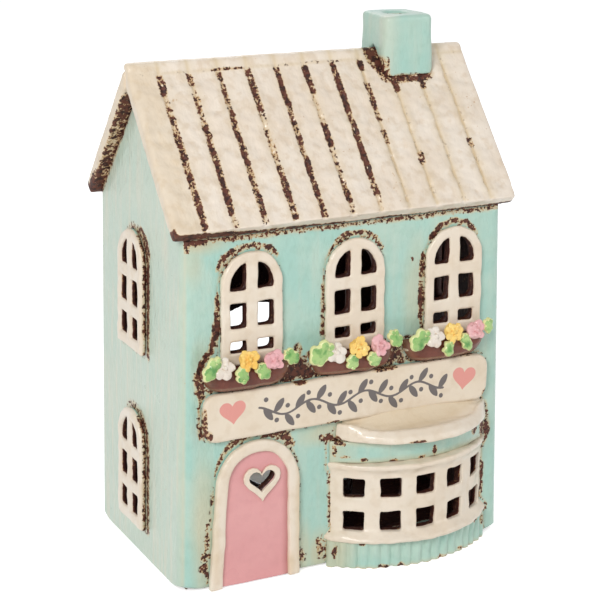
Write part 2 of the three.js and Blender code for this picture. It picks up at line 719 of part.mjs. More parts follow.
function leaf(length, width) {
  const rim = (angle) => {
    const side = Math.sin(angle);
    return [length / 2 * Math.cos(angle), width / 2 * Math.sign(side) * Math.abs(side) ** 1.3];
  };
  const rise = (share, angle) => {
    const fromRib = share * Math.abs(Math.sin(angle));
    const dome = leafEdge + (leafThickness - leafEdge) * Math.sqrt(1 - 0.95 * share ** 2);
    return dome - 0.35 * Math.max(0, 1 - 4 * fromRib) * (1 - share);
  };
  return sprig(rim, rise, 3, 14);
}

// Stand a sprig up on the house front with its crown at a place
function press(geometry, x, z, front, thickness, tilt, turn = 0) {
  return geometry.rotateZ(turn).applyMatrix4(facingFront).rotateX(-tilt)
    .translate(x, frontFace - front + thickness * Math.cos(tilt), z - thickness * Math.sin(tilt));
}

// What is left of a sprig where others lie over it: its biggest piece
function trimmed(geometry, tools) {
  const pieces = toSolid(cut(geometry, ...tools)).decompose();
  pieces.sort((a, b) => b.volume() - a.volume());
  return toGeometry(pieces[0]);
}

const bloomGlaze = { white, yellow, pink };
for (const { side, x, blooms, leaves } of posies) {
  place(`${side}_box`, trough(x, 0), brown);
  const box = trough(x, seam);
  const over = [box];
  for (const [colour, [along, height]] of Object.entries(blooms)) {
    const set = (grow) => press(bloom(grow), x + along * boxHalf, boxTop + height * boxHeight, bloomFront + grow,
      bloomThickness + grow, bloomTilt);
    place(`${side}_${colour}_bloom`, trimmed(set(0), over), bloomGlaze[colour]);
    over.push(set(seam));
  }
  for (const [name, [along, height, turn, length, width]] of Object.entries(leaves)) {
    const set = (grow) => press(leaf(length * boxHalf + grow, width * boxHalf + grow), x + along * boxHalf,
      boxTop + height * boxHeight, leafFront + grow / 2, leafThickness, leafTilt, turn);
    place(`${side}_${name}_leaf`, trimmed(set(0), over), green);
    over.push(set(2 * seam));
  }
}

// Tealight: turned pieces, each drawn from its underside outwards, up and back in
function turned(profile, spokes) {
  const places = [];
  const faces = [];
  const rows = profile.map(([radius, z]) => {
    const row = [];
    for (let j = 0; j < (radius > 0 ? spokes : 1); j += 1) {
      const angle = 2 * Math.PI * j / spokes;
      row.push(places.length / 3);
      places.push(radius * Math.cos(angle), radius * Math.sin(angle), z);
    }
    return row;
  });
  for (const [k, low] of rows.entries()) {
    const high = rows[(k + 1) % rows.length];
    for (let j = 0; j < spokes && low.length + high.length > 2; j += 1) {
      const [a, b] = [low[j % low.length], low[(j + 1) % low.length]];
      const [d, c] = [high[j % high.length], high[(j + 1) % high.length]];
      if (a !== b) faces.push(a, b, c);
      if (c !== d) faces.push(a, c, d);
    }
  }
  const geometry = new THREE.BufferGeometry();
  geometry.setAttribute('position', new THREE.Float32BufferAttribute(places, 3));
  geometry.setIndex(faces);
  geometry.computeVertexNormals();
  return geometry;
}

const standing = floorClay + slideGap;
const cup = turned([
  [0, 0], [cupRadius - 0.6, 0], [cupRadius, 0.6], [cupRadius, cupHeight - 0.8], [cupRadius + 0.3, cupHeight - 0.5],
  [cupRadius + 0.3, cupHeight - 0.1], [cupRadius, cupHeight], [cupRadius - foil, cupHeight - 0.2],
  [cupRadius - foil, foil + 0.6], [cupRadius - foil - 0.6, foil], [0, foil],
], 32);
place('tealight_cup', cup, aluminium).position.set(0, candleY, standing);

const waxRadius = cupRadius - foil - waxGap;
const discTop = foil + foil;
const waxLow = foil + 0.2;
const wax = turned([
  [sustainerRadius + seam, waxLow], [waxRadius - 0.6, waxLow], [waxRadius, waxLow + 0.6], [waxRadius, waxHeight],
  [waxRadius - 2, waxHeight - 0.3], [wickRadius + seam, waxHeight - 0.3],
  [wickRadius + seam, foil + collarHeight + seam], [collarRadius + seam, foil + collarHeight + seam],
  [collarRadius + seam, discTop + seam], [sustainerRadius + seam, discTop + seam],
], 32);
place('tealight_wax', wax, paraffin).position.set(0, candleY, standing);

const boreRadius = wickRadius + seam;
const sustainer = turned([
  [0, foil], [sustainerRadius, foil], [sustainerRadius, discTop], [collarRadius, discTop],
  [collarRadius, foil + collarHeight], [boreRadius, foil + collarHeight], [boreRadius, discTop], [0, discTop],
], 24);
place('wick_sustainer', sustainer, aluminium).position.set(0, candleY, standing);

const wick = turned([[0, discTop], [wickRadius, discTop], [wickRadius, wickLength], [0, wickLength]], 10);
place('tealight_wick', wick, cotton).position.set(0, candleY, standing);

export default house;
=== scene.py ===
# %% [markdown]
# # A glazed tealight house
# This file dresses a CAD model of a small pottery shop that glows with a tealight. The CAD solids are
# crisp, and the real thing is hand-pressed clay under thick glaze. So most cells below take a solid, give it
# an even skin, rub its edges soft, and then paint values on its points that tell the glaze what to do there.

# %% Load the frame
import math

import bmesh
import bpy
import numpy
from mathutils import Matrix, Vector, noise
from mathutils.bvhtree import BVHTree


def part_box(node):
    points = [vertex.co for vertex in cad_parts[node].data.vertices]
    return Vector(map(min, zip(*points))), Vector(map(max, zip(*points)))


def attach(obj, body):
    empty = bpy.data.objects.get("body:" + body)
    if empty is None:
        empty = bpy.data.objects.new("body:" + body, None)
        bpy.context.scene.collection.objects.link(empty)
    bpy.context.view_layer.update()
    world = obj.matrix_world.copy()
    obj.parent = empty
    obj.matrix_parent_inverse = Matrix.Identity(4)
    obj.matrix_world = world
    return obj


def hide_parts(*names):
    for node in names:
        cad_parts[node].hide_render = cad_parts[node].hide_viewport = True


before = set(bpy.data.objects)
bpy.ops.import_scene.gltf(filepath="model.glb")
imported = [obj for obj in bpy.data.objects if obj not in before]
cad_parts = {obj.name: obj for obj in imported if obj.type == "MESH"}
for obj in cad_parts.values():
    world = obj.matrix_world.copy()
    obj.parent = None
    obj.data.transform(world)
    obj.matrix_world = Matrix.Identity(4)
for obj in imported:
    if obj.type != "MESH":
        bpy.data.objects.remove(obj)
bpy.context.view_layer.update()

MM = 0.001
scene = bpy.context.scene
scene.view_settings.view_transform = "Standard"

# %% [markdown]
# Four small steps come back all through the file, so each is a function: a solid's box in millimetres, a new
# object in the scene, a mesh made of a bmesh, and an amount that goes evenly from place to place.

# %% Shared steps
def box_mm(node):
    """The low and the high corner of a CAD node's box, in millimetres."""
    return [numpy.array(corner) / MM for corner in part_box(node)]


def add_object(name, data):
    obj = bpy.data.objects.new(name, data)
    scene.collection.objects.link(obj)
    return obj


def mesh_of(shape, name):
    """Turns a bmesh into a mesh of this name and frees it."""
    mesh = bpy.data.meshes.new(name)
    shape.to_mesh(mesh)
    shape.free()
    return mesh


def follow(values, stops):
    """Goes evenly from stop to stop. stops maps places in mm to the amount at each."""
    return numpy.interp(values, list(stops), list(stops.values()))

# %% [markdown]
# ## Camera
# The photograph was taken from a little left of the front and a little above. The camera could be placed by
# eye, but a house has many straight edges, so its place was worked out from the corners of the walls, the
# roof and the panes. It is given here by its angles, its distance and the point that it looks at, in mm.

# %% Camera
azimuth = math.radians(-26.16)
elevation = math.radians(16.51)
roll = math.radians(0.16)
camera_distance = 600.05
looks_at_height = 80
shift_right = 0.59
shift_up = 0.11
right = Vector((math.cos(azimuth), math.sin(azimuth), 0))
back = Vector((math.sin(azimuth) * math.cos(elevation), -math.cos(azimuth) * math.cos(elevation),
               math.sin(elevation)))
up = back.cross(right)
aim = Vector((0, 0, looks_at_height)) + shift_right * right + shift_up * up
rolled_right = math.cos(roll) * right + math.sin(roll) * up
rolled_up = math.cos(roll) * up - math.sin(roll) * right
camera_data = bpy.data.cameras.new("camera")
camera_data.lens = 108
camera_data.sensor_width = 36
camera_data.clip_start = 0.01
camera = add_object("camera", camera_data)
camera_turn = Matrix((rolled_right, rolled_up, back)).transposed().to_4x4()
camera.matrix_world = Matrix.Translation((aim + camera_distance * back) * MM) @ camera_turn
scene.camera = camera
print("Camera at", [round(v, 3) for v in camera.matrix_world.translation])

# %% [markdown]
# ## Small tools for wiring nodes
# A material is a chain of nodes. These helpers make one node each and hand back the socket that comes out of
# it, so that a finish can be read from top to bottom like a recipe.

# %% Node helpers
def linear(red, green, blue):
    """A colour read from a photograph, 0 to 255, as the linear colour that Blender renders with."""
    steps = [value / 255 for value in (red, green, blue)]
    return tuple(v / 12.92 if v < 0.04045 else ((v + 0.055) / 1.055) ** 2.4 for v in steps) + (1,)


def feed(tree, socket, value):
    """Links a socket to another, or writes a plain value into it."""
    if isinstance(value, bpy.types.NodeSocket):
        tree.links.new(value, socket)
    else:
        socket.default_value = value


def mixed(tree, share, first, second):
    """Two colours mixed. A mix node takes colours in sockets 6 and 7 and gives one out of socket 2."""
    node = tree.nodes.new("ShaderNodeMix")
    node.data_type = "RGBA"
    feed(tree, node.inputs[0], share)
    feed(tree, node.inputs[6], first)
    feed(tree, node.inputs[7], second)
    return node.outputs[2]


def maths(tree, operation, first, second, clamp=False):
    node = tree.nodes.new("ShaderNodeMath")
    node.operation = operation
    node.use_clamp = clamp
    feed(tree, node.inputs[0], first)
    feed(tree, node.inputs[1], second)
    return node.outputs[0]


def times(tree, first, second):
    return maths(tree, "MULTIPLY", first, second)


def plus(tree, first, second):
    return maths(tree, "ADD", first, second)


def minus(tree, first, second):
    return maths(tree, "SUBTRACT", first, second)


def ease(tree, value, low, high, start=0.0, end=1.0):
    """Goes smoothly from start to end while the value goes from low to high."""
    node = tree.nodes.new("ShaderNodeMapRange")
    node.interpolation_type = "SMOOTHSTEP"
    feed(tree, node.inputs["Value"], value)
    node.inputs["From Min"].default_value = low
    node.inputs["From Max"].default_value = high
    node.inputs["To Min"].default_value = start
    node.inputs["To Max"].default_value = end
    return node.outputs["Result"]


def painted(tree, name):
    """The value that a cell below painted on the points under this name. It is 0 where none was painted."""
    node = tree.nodes.new("ShaderNodeAttribute")
    node.attribute_name = name
    return node.outputs["Fac"]


def grain(tree, size, detail=2.0, stretch=(1, 1, 1)):
    """Noise whose lumps are about this many millimetres across."""
    place = tree.nodes.new("ShaderNodeTexCoord")
    scale = tree.nodes.new("ShaderNodeVectorMath")
    scale.operation = "MULTIPLY"
    tree.links.new(place.outputs["Object"], scale.inputs[0])
    scale.inputs[1].default_value = stretch
    node = tree.nodes.new("ShaderNodeTexNoise")
    tree.links.new(scale.outputs[0], node.inputs["Vector"])
    node.inputs["Detail"].default_value = detail
    node.inputs["Scale"].default_value = 1 / (size * MM)
    return node.outputs["Fac"]


def centred(tree, size, detail=2.0):
    """The same noise, swinging evenly about 0."""
    return minus(tree, grain(tree, size, detail), 0.5)


def group(name, inputs, outputs):
    """An empty shader group with named float sockets. Returns its tree and its two end nodes."""
    tree = bpy.data.node_groups.new(name, "ShaderNodeTree")
    for socket, value in inputs.items():
        made = tree.interface.new_socket(socket, in_out="INPUT", socket_type="NodeSocketFloat")
        made.default_value = value
    for socket in outputs:
        tree.interface.new_socket(socket, in_out="OUTPUT", socket_type="NodeSocketFloat")
    return tree, tree.nodes.new("NodeGroupInput"), tree.nodes.new("NodeGroupOutput")


def new_material(name):
    """A material, its node tree and its shader."""
    material = bpy.data.materials.new(name)
    material.use_nodes = True
    return material, material.node_tree, material.node_tree.nodes["Principled BSDF"]


def raise_surface(tree, shader, height, amount, distance):
    """Bumps a shader's surface by a height. distance is in mm."""
    bump = tree.nodes.new("ShaderNodeBump")
    bump.inputs["Strength"].default_value = amount
    bump.inputs["Distance"].default_value = distance * MM
    tree.links.new(height, bump.inputs["Height"])
    tree.links.new(bump.outputs["Normal"], shader.inputs["Normal"])


def use(tree, shared, **values):
    """Places a shader group in a material with its own values, and returns the node."""
    node = tree.nodes.new("ShaderNodeGroup")
    node.node_tree = shared
    for name, value in values.items():
        feed(tree, node.inputs[name.replace("_", " ")], value)
    return node

# %% [markdown]
# ## Light
# A product photographer puts small pottery in a white tent, so that light comes from everywhere and the
# glaze carries wide soft highlights. The world plays the tent: it looks fully white, and lights the clay less
# than it looks. Three area lamps play the softboxes: a key from the left and above, a weak fill from the
# right, and one from behind that draws the top edges.

# %% Light
house_middle = Vector((0, 0, 0.08))
tent_light = 0.42
tent_look = 1.0


def softbox(name, place, size, power):
    """A square lamp that looks at the middle of the house. Place and size are in metres."""
    data = bpy.data.lights.new(name, "AREA")
    data.shape = "SQUARE"
    data.size = size
    data.energy = power
    lamp = add_object(name, data)
    lamp.location = place
    lamp.rotation_euler = (house_middle - Vector(place)).to_track_quat("-Z", "Y").to_euler()


softbox("key", (-0.68, -0.70, 0.60), 0.32, 6.5)
softbox("fill", (0.95, -0.75, 0.5), 0.7, 3.0)
softbox("rim", (0.3, 0.9, 0.9), 0.6, 2.2)

world = bpy.data.worlds.new("tent")
scene.world = world
world.use_nodes = True
sky = world.node_tree
tent = sky.nodes["Background"]
tent.inputs["Color"].default_value = (1, 1, 1, 1)
rays = sky.nodes.new("ShaderNodeLightPath")
camera_or_glossy = maths(sky, "MAXIMUM", rays.outputs["Is Camera Ray"], rays.outputs["Is Glossy Ray"])
any_sight = maths(sky, "MAXIMUM", camera_or_glossy, rays.outputs["Is Transmission Ray"])
strength = sky.nodes.new("ShaderNodeMapRange")
strength.inputs["To Min"].default_value = tent_light
strength.inputs["To Max"].default_value = tent_look
feed(sky, strength.inputs["Value"], any_sight)
feed(sky, tent.inputs["Strength"], strength.outputs["Result"])

# %% [markdown]
# ## Effects that several glazes share
# Thick glaze over dark slip does the same few things everywhere. It drifts in tone from one brush load to
# the next, it draws back from edges and seams so that the dark slip shows in ragged lines with a tan fringe,
# it carries iron specks, and it follows the dents of fingers and brush. Each of these is one shader group, so
# that every finish can use it in its own amount.

# %% Tone drift of a brushed glaze
tone_group, ends, out = group("tone drift", {"Brushed": 1.0}, ["Broad", "Mottle", "Streak"])
broad = grain(tone_group, 17.0, 3.0)
mottle = grain(tone_group, 3.4, 3.0)
streak = grain(tone_group, 3.0, 3.0, (1, 1, 0.1))
feed(tone_group, out.inputs["Broad"], ease(tone_group, broad, 0.36, 0.66))
feed(tone_group, out.inputs["Mottle"], ease(tone_group, mottle, 0.46, 0.70))
feed(tone_group, out.inputs["Streak"], times(tone_group, ease(tone_group, streak, 0.46, 0.72),
                                             ends.outputs["Brushed"]))
print("Group:", tone_group.name)

# %% Ragged break in the glaze
break_group, ends, out = group(
    "ragged break", {"Amount": 0.0, "Patchy": 1.2, "Ragged": 2.6}, ["Slip", "Fringe", "Haze"])
amount = ends.outputs["Amount"]
coarse = centred(break_group, 5.0, 1.0)
fine = times(break_group, centred(break_group, 0.55, 1.0), 0.6)
torn = plus(break_group, centred(break_group, 1.3, 1.0), fine)
uneven = plus(break_group, amount, times(break_group, coarse, ends.outputs["Patchy"]))
level = plus(break_group, uneven, times(break_group, torn, ends.outputs["Ragged"]))
present = ease(break_group, amount, 0.04, 0.22)
slip = times(break_group, ease(break_group, level, 0.50, 0.58), present)
fringe = times(break_group, ease(break_group, level, 0.12, 0.46), ease(break_group, amount, 0.12, 0.42))
cloud = plus(break_group, amount, times(break_group, coarse, 0.8))
haze = times(break_group, ease(break_group, cloud, 0.02, 0.45), ease(break_group, amount, 0.0, 0.1))
feed(break_group, out.inputs["Slip"], slip)
feed(break_group, out.inputs["Fringe"], fringe)
feed(break_group, out.inputs["Haze"], haze)
print("Group:", break_group.name)

# %% Specks of iron
speck_group, ends, out = group("iron specks", {"Spread": 0.7, "Threshold": 0.7}, ["Speck"])
dots = grain(speck_group, 1.1, 1.0)
dense = plus(speck_group, dots, times(speck_group, centred(speck_group, 14.0, 2.0), ends.outputs["Spread"]))
above = minus(speck_group, dense, ends.outputs["Threshold"])
feed(speck_group, out.inputs["Speck"], ease(speck_group, above, 0.0, 0.05))
print("Group:", speck_group.name)

# %% Relief that fingers and brush leave
press_group, ends, out = group("pressed relief", {"Finger": 1.0, "Brush": 0.5}, ["Height"])
fingers = times(press_group, grain(press_group, 6.0, 1.0), ends.outputs["Finger"])
brush = times(press_group, grain(press_group, 1.3, 2.0, (1, 1, 0.45)), ends.outputs["Brush"])
feed(press_group, out.inputs["Height"], plus(press_group, fingers, brush))
print("Group:", press_group.name)

# %% [markdown]
# ## The glazes
# Every glaze on this house is the same kind of finish in another colour: a satin coat that drifts in tone,
# goes thin on edges, breaks to dark slip where its points say so, and gives way to raw clay under the foot.
# So one recipe makes all of them. The values painted on the points are "break" for ragged lines, "within"
# for the dark inside, "second" for a neighbour's colour that laps over, "relief" for edges and hollows,
# whose deep colour is pooled glaze and on some pieces painted shade too, "cream" for pale runs and for
# painted highlights, "haze" for a tan tinge that on the canopy holds painted shade too, and "bare" for the
# unglazed foot. A recipe's marks add values of its own.

# %% Glaze recipe
slip_warm = linear(96, 54, 40)
slip_dark = linear(52, 27, 21)
slip_ochre = linear(188, 146, 96)
haze_tan = linear(208, 186, 146)
pale_run_and_highlight = linear(212, 208, 188)
raw_clay = linear(214, 196, 170)
inside_warm = linear(112, 60, 45)
inside_dark = linear(56, 27, 21)


def glaze(name, main, pale, deep, second=None, edge=(0.0, haze_tan), streak=0.0, mottle=0.25, ragged=2.6,
          speck=0.88, finger=1.0, brush=0.5, rough=0.24, bumpy=0.4, shine=0.3, marks=()):
    """A satin pottery glaze. edge is (amount, colour) where it runs thin, and marks are (value, colour)."""
    material, tree, shader = new_material(name)
    tone = use(tree, tone_group)
    worn = use(tree, break_group, Amount=painted(tree, "break"), Ragged=ragged)
    specks = use(tree, speck_group, Threshold=speck)
    relief = painted(tree, "relief")
    colour = mixed(tree, tone.outputs["Broad"], main, pale)
    colour = mixed(tree, times(tree, tone.outputs["Mottle"], mottle), colour, deep)
    run_strength = plus(tree, times(tree, tone.outputs["Streak"], 0.25), 0.6)
    streaks = times(tree, tone.outputs["Streak"], streak)
    # The painted cream value mixes in a pale colour: pale glaze runs, and painted highlights where a piece
    # paints them.
    runs = plus(tree, streaks, times(tree, painted(tree, "cream"), run_strength))
    colour = mixed(tree, maths(tree, "MINIMUM", runs, 1.0), colour, pale_run_and_highlight)
    if second:
        lap = plus(tree, painted(tree, "second"), times(tree, centred(tree, 2.0), 0.6))
        colour = mixed(tree, ease(tree, lap, 0.42, 0.58), colour, second)
    for value, ink in marks:
        line = plus(tree, painted(tree, value), times(tree, centred(tree, 0.9), 0.12))
        colour = mixed(tree, ease(tree, line, 0.44, 0.56), colour, ink)
    # Hollows take the deep colour: pooled glaze, and painted shade where a piece paints strong relief or
    # shade into it.
    colour = mixed(tree, ease(tree, relief, -0.08, -0.5), colour, deep)
    thin = plus(tree, relief, times(tree, centred(tree, 1.6), 0.7))
    colour = mixed(tree, times(tree, ease(tree, thin, 0.25, 0.7), edge[0]), colour, edge[1])
    colour = mixed(tree, times(tree, specks.outputs["Speck"], 0.55), colour, slip_ochre)
    tinge = maths(tree, "MAXIMUM", painted(tree, "haze"), worn.outputs["Haze"])
    colour = mixed(tree, times(tree, tinge, 0.6), colour, haze_tan)
    colour = mixed(tree, times(tree, worn.outputs["Fringe"], 0.8), colour, slip_ochre)
    slip = mixed(tree, ease(tree, grain(tree, 1.5, 2.0), 0.44, 0.60), slip_warm, slip_dark)
    colour = mixed(tree, worn.outputs["Slip"], colour, slip)
    dark = plus(tree, painted(tree, "within"), times(tree, centred(tree, 1.6), 0.8))
    inner = mixed(tree, ease(tree, dark, 0.55, 1.0), inside_warm, inside_dark)
    flecks = times(tree, ease(tree, grain(tree, 0.8, 1.0), 0.60, 0.68), ease(tree, dark, 1.2, 0.6))
    inner = mixed(tree, flecks, inner, slip_ochre)
    dark_share = ease(tree, dark, 0.42, 0.54)
    colour = mixed(tree, dark_share, colour, inner)
    colour = mixed(tree, painted(tree, "bare"), colour, raw_clay)
    tree.links.new(colour, shader.inputs["Base Color"])
    covered = maths(tree, "MAXIMUM", dark_share, worn.outputs["Slip"])
    rougher = plus(tree, times(tree, covered, 0.26), times(tree, painted(tree, "bare"), 0.6))
    gloss = plus(tree, times(tree, grain(tree, 11.0), 0.12), rough)
    tree.links.new(maths(tree, "ADD", gloss, rougher, clamp=True), shader.inputs["Roughness"])
    tree.links.new(ease(tree, covered, 0.0, 1.0, 0.2, 0.0), shader.inputs["Coat Weight"])
    pressed = use(tree, press_group, Finger=finger, Brush=brush)
    height = minus(tree, pressed.outputs["Height"], times(tree, worn.outputs["Slip"], 0.6))
    raise_surface(tree, shader, height, bumpy, 0.5)
    shader.inputs["Specular IOR Level"].default_value = shine
    shader.inputs["Coat Roughness"].default_value = 0.08
    return material

# %% [markdown]
# Now the finishes themselves. Their colours were read from evenly lit places in the photograph. The cream on
# the frames laps over mint on their sides, and the shop sign carries two painted hearts with a garland
# between them, so those recipes get extra colours.

# %% Finishes
mint = linear(164, 202, 190)
mint_pale = linear(178, 205, 191)
mint_deep = linear(146, 184, 168)
cream = linear(226, 211, 191)
cream_pale = linear(229, 217, 200)
cream_deep = linear(202, 180, 150)
heart_pink = linear(221, 150, 140)
garland_grey = linear(104, 97, 95)
cream_edge = linear(214, 184, 150)

mint_glaze = glaze("mint_glaze", mint, mint_pale, mint_deep, edge=(0.3, linear(204, 188, 156)), streak=0.14,
                   brush=0.9, bumpy=0.65)
roof_glaze = glaze("roof_cream_glaze", linear(229, 214, 196), linear(234, 222, 207), linear(208, 186, 158),
                   edge=(0.35, linear(205, 172, 138)), mottle=0.45, ragged=2.2, speck=0.80,
                   finger=1.9, brush=0.45, bumpy=0.85)
cream_glaze = glaze("cream_glaze", cream, cream_pale, cream_deep, second=mint, edge=(0.2, cream_edge))
sign_glaze = glaze("sign_cream_glaze", linear(223, 207, 185), linear(227, 213, 193), cream_deep, second=mint,
                   edge=(0.25, cream_edge), marks=[("hearts", heart_pink), ("garland", garland_grey)])
pink_glaze = glaze("pink_glaze", linear(216, 154, 154), linear(221, 161, 160), linear(184, 122, 120),
                   edge=(0.15, linear(226, 178, 168)), mottle=0.1)
brown_glaze = glaze("brown_glaze", linear(108, 58, 46), linear(122, 70, 56), linear(62, 31, 25),
                    edge=(0.9, linear(150, 84, 50)), speck=0.84, rough=0.2, shine=0.15,
                    marks=[("spill", linear(222, 205, 180))])
white_petal = glaze("white_petal_glaze", linear(226, 214, 201), linear(231, 222, 211), linear(196, 172, 146),
                    finger=0.3, brush=0.3)
yellow_petal = glaze("yellow_petal_glaze", linear(238, 194, 96), linear(244, 210, 122), linear(220, 150, 52),
                     finger=0.3, brush=0.3)
pink_petal = glaze("pink_petal_glaze", linear(226, 170, 174), linear(232, 184, 184), linear(196, 124, 124),
                   finger=0.3, brush=0.3)
leaf_glaze = glaze("leaf_green_glaze", linear(146, 186, 110), linear(176, 204, 132), linear(70, 138, 66),
                   edge=(0.8, linear(222, 224, 160)), mottle=0.9, finger=0.3, brush=0.3,
                   marks=[("rim", linear(218, 221, 158))])
print("Glazes:", len(bpy.data.materials))

# %% [markdown]
# ## From solid to clay
# A clay slab has no sharp edge anywhere. Bevels could round the solids' edges one by one, but where two
# rolled slabs meet the potter smears them into one. A voxel remesh does both: it lays an even skin over all
# the solids it is given, merges them where they touch, and a few smoothing passes rub the edges soft.

# %% Clay helpers
def coordinates(obj):
    """The points of a mesh in millimetres, one row each."""
    flat = numpy.empty(len(obj.data.vertices) * 3)
    obj.data.vertices.foreach_get("co", flat)
    return flat.reshape(-1, 3) / MM


def directions(obj):
    flat = numpy.empty(len(obj.data.vertices) * 3)
    obj.data.vertices.foreach_get("normal", flat)
    return flat.reshape(-1, 3)


def move_to(obj, points):
    obj.data.vertices.foreach_set("co", (points * MM).ravel())
    obj.data.update()


def paint(obj, name, values):
    """Keeps one number per point, which the glaze reads under this name."""
    layer = obj.data.attributes.new(name, "FLOAT", "POINT")
    layer.data.foreach_set("value", numpy.asarray(values, numpy.float32))


def finish_piece(obj, body, material, nodes):
    """Gives a piece its material, lets it ride its body, and hides the solids that it stands for."""
    obj.data.materials.clear()
    obj.data.materials.append(material)
    obj.data.polygons.foreach_set("use_smooth", [True] * len(obj.data.polygons))
    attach(obj, body)
    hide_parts(*nodes)
    return obj


def skin(name, mesh, voxel, passes):
    """An object with an even skin of this voxel size in mm over a mesh, rubbed soft."""
    obj = add_object(name, mesh)
    wrap = obj.modifiers.new("skin", "REMESH")
    wrap.mode = "VOXEL"
    wrap.voxel_size = voxel * MM
    rub = obj.modifiers.new("rub", "SMOOTH")
    rub.factor = 0.5
    rub.iterations = passes
    bpy.context.view_layer.update()
    worn = bpy.data.meshes.new_from_object(obj.evaluated_get(bpy.context.evaluated_depsgraph_get()))
    obj.modifiers.clear()
    obj.data = worn
    return obj


def clay(name, nodes, voxel, passes, material, extend=None):
    """One fired piece made of these CAD solids. extend can move their points before they are wrapped."""
    parts = bmesh.new()
    for node in nodes:
        parts.from_mesh(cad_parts[node].data)
    if extend:
        for vertex in parts.verts:
            vertex.co = Vector(extend(vertex.co / MM)) * MM
    obj = skin(name, mesh_of(parts, name), voxel, passes)
    return finish_piece(obj, "house", material, nodes)


def neighbour_mean(obj, values, passes, share=1.0):
    """Spreads values along the mesh's edges, so that each point goes this share of the way to the mean."""
    ends = numpy.empty(len(obj.data.edges) * 2, int)
    obj.data.edges.foreach_get("vertices", ends)
    first, second = ends.reshape(-1, 2).T
    count = numpy.bincount(ends, minlength=len(values)).astype(float)[:, None] + 1
    for _ in range(passes):
        total = values.copy()
        for axis in range(values.shape[1]):
            total[:, axis] += numpy.bincount(first, values[second, axis], len(values))
            total[:, axis] += numpy.bincount(second, values[first, axis], len(values))
        values = values + share * (total / count - values)
    return values


def rub_soft(obj, share, passes):
    """Rubs a piece softer where share is near 1 and leaves it alone where share is 0."""
    move_to(obj, neighbour_mean(obj, coordinates(obj), passes, share[:, None]))


def paint_relief(obj, passes, gain):
    """Paints how far each point stands out of its neighbourhood: above 0 on edges, below 0 in hollows."""
    points = coordinates(obj)
    stands_out = ((points - neighbour_mean(obj, points, passes)) * directions(obj)).sum(1)
    paint(obj, "relief", numpy.clip(stands_out * gain, -1, 1))

# %% [markdown]
# The glaze breaks along the seam where one piece sits on another. The solids next door are known, so a
# search tree over their faces gives every point its distance to them, and the direction too. That lets the
# dark line be strong on one side of a window and weak on the other, as the kiln left it. Single blots and
# runs are given one by one, as places on the wall.

# %% Seams, blots and runs
fades_at = 1.5  # slip ends at this multiple of the half width that is given for a blot or a run
least_length = 1e-12


def near(points, nodes, reach, along=0, left=1.0, right=1.0, above=1.0, below=1.0):
    """1 at a seam with these solids, falling to 0 at this reach in mm, with a weight for each side."""
    solids = bmesh.new()
    for node in nodes:
        solids.from_mesh(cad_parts[node].data)
    tree = BVHTree.FromBMesh(solids)
    low = numpy.min([v.co for v in solids.verts], 0) / MM - reach
    high = numpy.max([v.co for v in solids.verts], 0) / MM + reach
    solids.free()
    amount = numpy.zeros(len(points))
    for k in numpy.nonzero(((points > low) & (points < high)).all(1))[0]:
        place = Vector(points[k] * MM)
        spot, _, _, distance = tree.find_nearest(place, reach * MM)
        if spot is None:
            continue
        away = place - spot
        side, rise = away[along], away.z
        side_weight = right if side > 0 else left
        rise_weight = above if rise > 0 else below
        span = side * side + rise * rise + least_length
        weight = (side_weight * side * side + rise_weight * rise * rise) / span
        amount[k] = max(amount[k], (1 - distance / (reach * MM)) * weight)
    return amount


def from_stretch(x, z, start, end):
    """The distance in mm of places from a straight stretch, and how far along it their nearest points are."""
    (x0, z0), (x1, z1) = start, end
    dx, dz = x1 - x0, z1 - z0
    share = numpy.clip(((x - x0) * dx + (z - z0) * dz) / (dx * dx + dz * dz + least_length), 0, 1)
    return numpy.hypot(x - x0 - share * dx, z - z0 - share * dz), share


def spots(points, places):
    """Blots on the front: (across, height, half width, half height, amount) in mm for each."""
    amount = numpy.zeros(len(points))
    for middle, height, half_width, half_height, strength in places:
        far = numpy.hypot((points[:, 0] - middle) / half_width, (points[:, 2] - height) / half_height)
        amount = numpy.maximum(amount, strength * numpy.clip(fades_at - far, 0, 1))
    return amount


def trail(points, path, across=0, strength=1.0):
    """A run of slip through places of (across, height, half width) in mm, in the plane of a wall."""
    amount = numpy.zeros(len(points))
    for (x0, z0, w0), (x1, z1, w1) in zip(path, path[1:]):
        away, share = from_stretch(points[:, across], points[:, 2], (x0, z0), (x1, z1))
        half_width = w0 + share * (w1 - w0)
        amount = numpy.maximum(amount, strength * numpy.clip(fades_at - away / half_width, 0, 1))
    return amount


def inside_arch(points, axis, middle, half, foot, springing):
    """How far points lie inside an upright round arch, in mm, and below 0 outside it."""
    over = numpy.maximum(points[:, 2] - springing, 0)
    return numpy.minimum(half - numpy.hypot(points[:, axis] - middle, over), points[:, 2] - foot)

# %% [markdown]
# ## Walls
# The body of the house is four rolled slabs joined at the corners, and the joints are smeared away, so the
# four wall solids become one piece. The gable slabs first reach a little into the front and back ones, or
# the skin would keep their seam. Then the standing corners and the foot get the potter's rounding.

# %% Walls: one skin
wall_nodes = ["front_wall", "back_wall", "left_gable_wall", "right_gable_wall"]
sides = ("left", "middle", "right")
front_windows = [f"front_{side}_window" for side in sides]
left_windows = ["left_upper_window", "left_lower_window"]
right_windows = ["right_upper_window", "right_lower_window"]
boxes = [f"{side}_box" for side in sides]
bow = ["bow_plinth", "bow_lattice", "bow_band", "bow_canopy"]
frame_half = 10.4
surround_half = 14.4
front_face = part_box("front_wall")[0].y / MM
foot_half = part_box("front_wall")[1].x / MM
top_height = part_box("front_wall")[1].z / MM
gable_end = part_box("left_gable_wall")[1].y / MM
corner_reach = 0.9


def reach_into_corner(p):
    """Lets the gable slabs run into the front and back slabs."""
    if abs(abs(p.y) - gable_end) < 0.05 and abs(p.x) < foot_half:
        return (p.x, p.y + math.copysign(corner_reach, p.y), p.z)
    return p


walls = clay("walls", wall_nodes, 0.72, 4, mint_glaze, reach_into_corner)
print("Walls:", len(walls.data.polygons), "faces")

